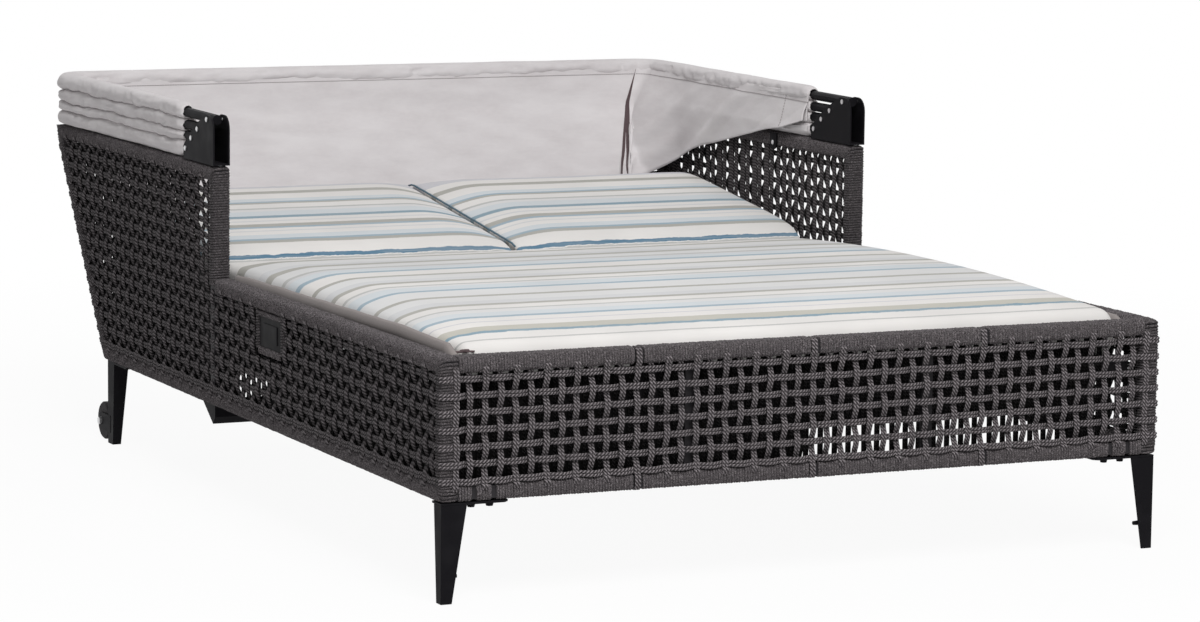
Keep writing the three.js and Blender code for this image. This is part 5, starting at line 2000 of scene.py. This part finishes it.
        marks = []
        reach = int(self.pleat_half / self.step)
        for i, row in enumerate(rows):
            if any(0 < abs(i - pleat) <= reach for pleat in pleats):
                continue
            if i in pleats:
                add_strip(row, self.pleat_half, 0.0)
                marks.append(len(strips) - 1)
                add_strip(row, 0.0, self.pleat_back)
                marks.append(len(strips) - 1)
                add_strip(row, -self.pleat_half, 0.0)
            else:
                add_strip(row, 0.0, 0.0)
        for i, (a, b) in enumerate(zip(strips, strips[1:])):
            for j in range(columns):
                faces.append((a[j], b[j], b[j + 1], a[j + 1]))
                dark.append(1 if i in marks else 0)
        made = make_object(f"canopy_drape_{k}", points, faces, material=self.palette.canvas)
        # Second slot: the pleat faces get the darker cloth as painted shade.
        made.data.materials.append(self.palette.pleat)
        made.data.polygons.foreach_set("material_index", dark)
        return made

    def stitches(self, k: int) -> None:
        """Rows of stitches below the top edge and down the side seams of a sheet."""
        rows = self.path()
        chains: list[Chain] = [[], [], []]
        for row in rows:
            drop = self.bow_height(k, row[1]) + 4 * MM - self.hem(row[1])
            if drop > 2 * self.seam_drop:
                chains[0].append(self.sheet_point(k, row, self.seam_drop / drop, 1.2 * MM))
        for side, chain in zip((1, -1), chains[1:]):
            away = lambda row: abs(row[1] - self.seam_y) + (1 if row[0] * side > 0 else 0)
            row = min(rows, key=away)
            chain.extend(self.sheet_point(k, row, j / 14, 1.2 * MM) for j in range(1, 14))
        values = {"Stitch length": self.stitch, "Stitch radius": self.stitch_radius}
        values["Finish"] = self.palette.seam
        made = stitch_tree().bake(chains_object(f"canopy_stitches_{k}", chains), values)
        settle(made, f"bow_{k}", "canopy_cloth")

    def thicken(self, made: Object, offset: float = 0.0) -> None:
        """Give a sheet its cloth thickness."""
        wall = made.modifiers.new("cloth", "SOLIDIFY")
        wall.thickness = self.cloth
        wall.offset = offset
        apply_modifiers(made)

    def build(self) -> None:
        """Make the sleeves and drapes."""
        for k in (1, 2, 3, 4):
            roll = self.sleeve(k)
            self.thicken(roll, -1.0)
            settle(roll, f"bow_{k}", "canopy_cloth", f"canopy_cloth_{k}")
            drape = self.flap(k)
            self.thicken(drape)
            settle(drape, f"bow_{k}", "canopy_cloth")
            if k == 4:
                self.stitches(k)


# ---- metal fittings


def fastener_tree() -> Tree:
    """Tree that sets a domed or six-sided head on each point, facing its normal."""
    tree = Tree("fastener heads")
    entry = tree.start(Head_radius="Float", Head_height="Float", Head_sides="Int", Taper="Float")
    wide, tall = entry.outputs["Head radius"], entry.outputs["Head height"]
    sides = entry.outputs["Head sides"]
    points = tree.node("MeshToPoints", {0: entry.outputs["Geometry"]})
    top = tree.math("MULTIPLY", wide, entry.outputs["Taper"])
    low_part, high_part = (tree.math("MULTIPLY", tall, share) for share in (0.55, 0.45))
    drum, crown = (
        tree.node(
            "MeshCone",
            {"Vertices": sides, "Radius Top": narrow, "Radius Bottom": wide, "Depth": depth},
        )
        for narrow, depth in ((wide, low_part), (top, high_part))
    )
    lift = tree.node("ShaderNodeCombineXYZ", {2: low_part})
    raised = tree.node("Transform", {"Geometry": crown.outputs[0], "Translation": lift.outputs[0]})
    both = tree.node("JoinGeometry")
    for part in (drum.outputs[0], raised.outputs[0]):
        tree.tree.links.new(part, both.inputs[0])
    facing = tree.node("InputNamedAttribute", {"Name": "facing"}, data_type="FLOAT_VECTOR")
    turn = tree.node("FunctionNodeAlignRotationToVector", {"Vector": facing.outputs[0]}, axis="Z")
    spread = tree.node(
        "InstanceOnPoints",
        {"Points": points.outputs[0], "Instance": both.outputs[0], "Rotation": turn.outputs[0]},
    )
    tree.finish(spread.outputs[0])
    return tree


@dataclass
class FrontLegs:
    """Tapered angle-section legs with their flanges under the foot corners."""

    layout: Layout
    palette: Palette
    plate: float = 4 * MM
    outer_x: float = 681 * MM
    front_y: float = -1033.5 * MM
    flange_x: float = 559 * MM
    flange_depth: float = 40 * MM
    foot: float = 20 * MM
    top_width: float = 46 * MM
    top_depth: float = 32 * MM
    edge: float = 0.8 * MM

    def leg(self, side: Side) -> Object:
        """One leg: an L section that narrows to the floor, and its flange."""
        hand = side.value
        top = self.layout.leg_z - self.plate - 0.3 * MM
        points: list[Point] = []
        faces: list[Sequence[int]] = []

        def prism(levels: list[tuple[float, list[tuple[float, float]]]]) -> None:
            """Add a closed prism through outlines at heights."""
            rings = []
            for z, outline in levels:
                rings.append(range(len(points), len(points) + len(outline)))
                points.extend((hand * (self.outer_x - a), self.front_y + b, z) for a, b in outline)
            for low, high in zip(rings, rings[1:]):
                for i in range(len(low)):
                    j = (i + 1) % len(low)
                    faces.append((low[i], low[j], high[j], high[i]))
            faces.extend((rings[0], rings[-1]))

        def angle(w: float, d: float) -> list[tuple[float, float]]:
            """Outline of the L section."""
            t = self.plate
            return [(0, 0), (w, 0), (w, t), (t, t), (t, d), (0, d)]

        prism([(0.0, angle(self.foot, self.foot)), (top, angle(self.top_width, self.top_depth))])
        reach = self.outer_x - self.flange_x
        round_off = [(reach - 8 * MM, 0), (reach, 8 * MM), (reach, self.flange_depth - 8 * MM)]
        outline = [(0, 0)] + round_off + [(reach - 8 * MM, self.flange_depth), (0, self.flange_depth)]
        prism([(top, outline), (top + self.plate, outline)])
        name = f"angle_leg_{side.label}"
        made = make_object(name, points, faces, material=self.palette.black, smooth=False)
        bevelled(made, self.edge)
        return settle(made, "root", "black_metal", f"leg_front_{side.label}")

    def build(self) -> None:
        """Make both legs."""
        for side in Side:
            self.leg(side)


@dataclass
class RailEars:
    """Small rounded lugs inside the arm rails."""

    layout: Layout
    palette: Palette
    y: float = 386 * MM
    z: float = 596 * MM
    radius: float = 15 * MM
    thickness: float = 3 * MM
    edge: float = 0.8 * MM

    def build(self) -> None:
        """Make both lugs."""
        inner = self.layout.half_width - self.layout.rail_width
        for side in Side:
            hand = side.value
            r, top = self.radius, self.radius * 1.3
            turns = np.linspace(math.pi, 2 * math.pi, 14)
            outline = [(r * math.cos(a), r * math.sin(a)) for a in turns] + [(r, top), (-r, top)]
            points = []
            for x in (inner - 0.5 * MM, inner - 0.5 * MM - self.thickness):
                points += [(hand * x, self.y + a, self.z + b) for a, b in outline]
            n = len(outline)
            faces = [tuple(range(n)), tuple(range(2 * n - 1, n - 1, -1))]
            faces += [(i, (i + 1) % n, n + (i + 1) % n, n + i) for i in range(n)]
            name = f"rail_ear_{side.label}"
            made = make_object(name, points, faces, material=self.palette.black)
            bevelled(made, self.edge)
            settle(made, "root", "black_metal")


@dataclass
class Fasteners:
    """Bolt and rivet heads on the legs, brackets and rails."""

    layout: Layout
    palette: Palette

    def __post_init__(self) -> None:
        """Prepare the tree."""
        self.tree = fastener_tree()

    def heads(
        self,
        name: str,
        places: Sequence[tuple[Point, Point]],
        radius: float,
        height: float,
        sides: int,
        finish: Material,
        slot: str,
        *replaced: str,
        taper: float = 0.7,
    ) -> Object:
        """Set equal heads on places with facings.

        Args:
            name: Name of the piece.
            places: Points with the direction that each head faces.
            radius: Radius of the head.
            height: Height of the head.
            sides: Sides of the head.
            finish: Material.
            slot: Slot name, which is not used.
            replaced: Nodes that the heads stand for.
            taper: Radius of the crown as a share.

        Returns:
            The piece.
        """
        made = make_object(name, [p for p, _ in places])
        facing = made.data.attributes.new("facing", "FLOAT_VECTOR", "POINT")
        facing.data.foreach_set("vector", np.array([n for _, n in places], np.float32).reshape(-1))
        values = {"Head radius": radius, "Head height": height, "Head sides": sides}
        self.tree.bake(made, {**values, "Taper": taper, "Finish": finish})
        return settle(made, "root", slot, *replaced)

    def build(self) -> None:
        """Make all heads."""
        lay = self.layout
        out, under, studs, ears = [], [], [], []
        for side in Side:
            h = side.value
            for i in (1, 2, 3, 4):
                low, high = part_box(f"bow_rivet_{side.label}_{i}")
                y, z = (low.y + high.y) / 2, (low.z + high.z) / 2
                x = high.x if h > 0 else low.x
                out.append(((x - h * 1.2 * MM, y, z), (h, 0, 0)))
        black, steel = (self.palette.black, "black_metal"), (self.palette.steel, "bright_steel")
        self.heads("bracket_rivet_heads", out, 4.6 * MM, 2.2 * MM, 16, *steel)
        for side in Side:
            h = side.value
            low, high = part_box(f"leg_front_{side.label}")
            plate = low.x if h > 0 else high.x
            for k in (29, 62):
                under.append(((plate + h * k * MM, lay.foot_y + 21 * MM, lay.leg_z - 4.2 * MM), (0, 0, -1)))
            studs.append(((h * 677 * MM, lay.foot_y + 15 * MM, 45 * MM), (-h, 0, 0)))
            inner = lay.half_width - lay.rail_width - 3.4 * MM
            ears.append(((h * inner, RailEars.y, RailEars.z), (-h, 0, 0)))
            ears.append(((h * lay.rail_x, lay.arm_y + 12 * MM, lay.arm_z - 0.4 * MM), (0, 0, 1)))
        self.heads("leg_flange_bolts", under, 7.2 * MM, 7 * MM, 6, *black, taper=0.85)
        self.heads("leg_studs", studs, 4.5 * MM, 28 * MM, 12, *black, taper=0.8)
        self.heads("rail_ear_rivets", ears, 5.0 * MM, 2.4 * MM, 16, *steel)


# ---- studio


@dataclass
class Studio:
    """Camera at the photograph's angle, floor and soft lights."""

    azimuth: float = math.radians(-24.883)
    elevation: float = math.radians(7.594)
    roll: float = math.radians(0.6435)
    focal_pixels: float = 4200.0
    image_width: float = 1200.0
    sensor: float = 36.0
    right: float = 0.0758976
    up: float = 0.321580
    back: float = 8.081446
    floor_white: float = 0.94
    sky: float = 0.27

    def camera(self) -> None:
        """Place the camera."""
        a, e = self.azimuth, self.elevation
        away = Vector((math.sin(a) * math.cos(e), -math.cos(a) * math.cos(e), math.sin(e)))
        level = Vector((0, 0, 1)).cross(away).normalized()
        rise = away.cross(level)
        right = level * math.cos(self.roll) + rise * math.sin(self.roll)
        up = rise * math.cos(self.roll) - level * math.sin(self.roll)
        place = right * self.right + up * self.up + away * self.back
        turn = Matrix((right, up, away)).transposed().to_4x4()
        data = bpy.data.cameras.new("camera")
        data.sensor_width = self.sensor
        data.lens = self.focal_pixels / self.image_width * self.sensor
        data.clip_end = 60
        camera = bpy.data.objects.new("camera", data)
        camera.matrix_world = Matrix.Translation(place) @ turn
        bpy.context.scene.collection.objects.link(camera)
        bpy.context.scene.camera = camera

    def lamp(self, name: str, place: Point, size: float, power: float, aim: Point = (0, 0, 0.3)) -> None:
        """Add a large soft lamp aimed at the bed."""
        data = bpy.data.lights.new(name, "AREA")
        data.shape = "SQUARE"
        data.size = size
        data.energy = power
        lamp = bpy.data.objects.new(name, data)
        direction = Vector(aim) - Vector(place)
        lamp.matrix_world = Matrix.Translation(place) @ direction.to_track_quat("-Z", "Y").to_matrix().to_4x4()
        bpy.context.scene.collection.objects.link(lamp)

    def floor(self) -> None:
        """Lay the pale floor, near white to the camera and to gloss, with the bed's soft shadow."""
        reach = 30.0
        corners = [(-reach, -reach, 0), (reach, -reach, 0), (reach, reach, 0), (-reach, reach, 0)]
        paint = Paint("pale floor")
        paint.set(Base_Color=(0.82, 0.82, 0.82, 1), Roughness=0.95, Specular_IOR_Level=0.1)
        far = paint.node("VectorMath", {0: paint.place()}, operation="LENGTH").outputs["Value"]
        share = paint.span(far, 1.2, 3.4, self.floor_white, 1.0)
        glow = paint.node("Emission", {"Color": (1, 1, 1, 1), "Strength": 1.0})
        blend = paint.node("MixShader", {0: paint.math("MULTIPLY", paint.looked_at(), share)})
        paint.tree.links.new(paint.shader.outputs[0], blend.inputs[1])
        paint.tree.links.new(glow.outputs[0], blend.inputs[2])
        paint.tree.links.new(blend.outputs[0], paint.tree.nodes["Material Output"].inputs[0])
        floor = make_object("floor", corners, [(0, 1, 2, 3)], material=paint.material)

    def world(self) -> None:
        """White surroundings to the camera, plain soft light to the bed."""
        world = bpy.data.worlds.new("studio")
        world.use_nodes = True
        shading = Shading(world.node_tree)
        background = shading.tree.nodes["Background"].inputs
        level = shading.span(shading.looked_at(), 0.0, 1.0, self.sky, 1.0)
        shading.feed(background["Strength"], level)
        background["Color"].default_value = (1, 1, 1, 1)
        bpy.context.scene.world = world

    def build(self) -> None:
        """Set up the studio."""
        self.camera()
        self.floor()
        self.world()
        self.lamp("key", (-0.9, -3.9, 4.6), 2.8, 262)
        self.lamp("rear", (0.5, 4.6, 4.4), 3.5, 60)
        bpy.context.scene.view_settings.view_transform = "Standard"


def record_size() -> None:
    """Update the view layer.
    """
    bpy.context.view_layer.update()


def main() -> None:
    """Build the whole daybed."""
    logging.basicConfig(level=logging.INFO, format="%(message)s")
    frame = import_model()
    layout = Layout.from_frame()
    Studio().build()
    palette = Palette()
    palette.dress_nodes(frame["nodes"])
    RopeWork(layout, palette).build()
    Bedding(layout, palette).build()
    Lining(layout, palette).build()
    Canopy(layout, palette).build()
    FrontLegs(layout, palette).build()
    RailEars(layout, palette).build()
    Fasteners(layout, palette).build()
    record_size()


if __name__ == "__main__":
    main()
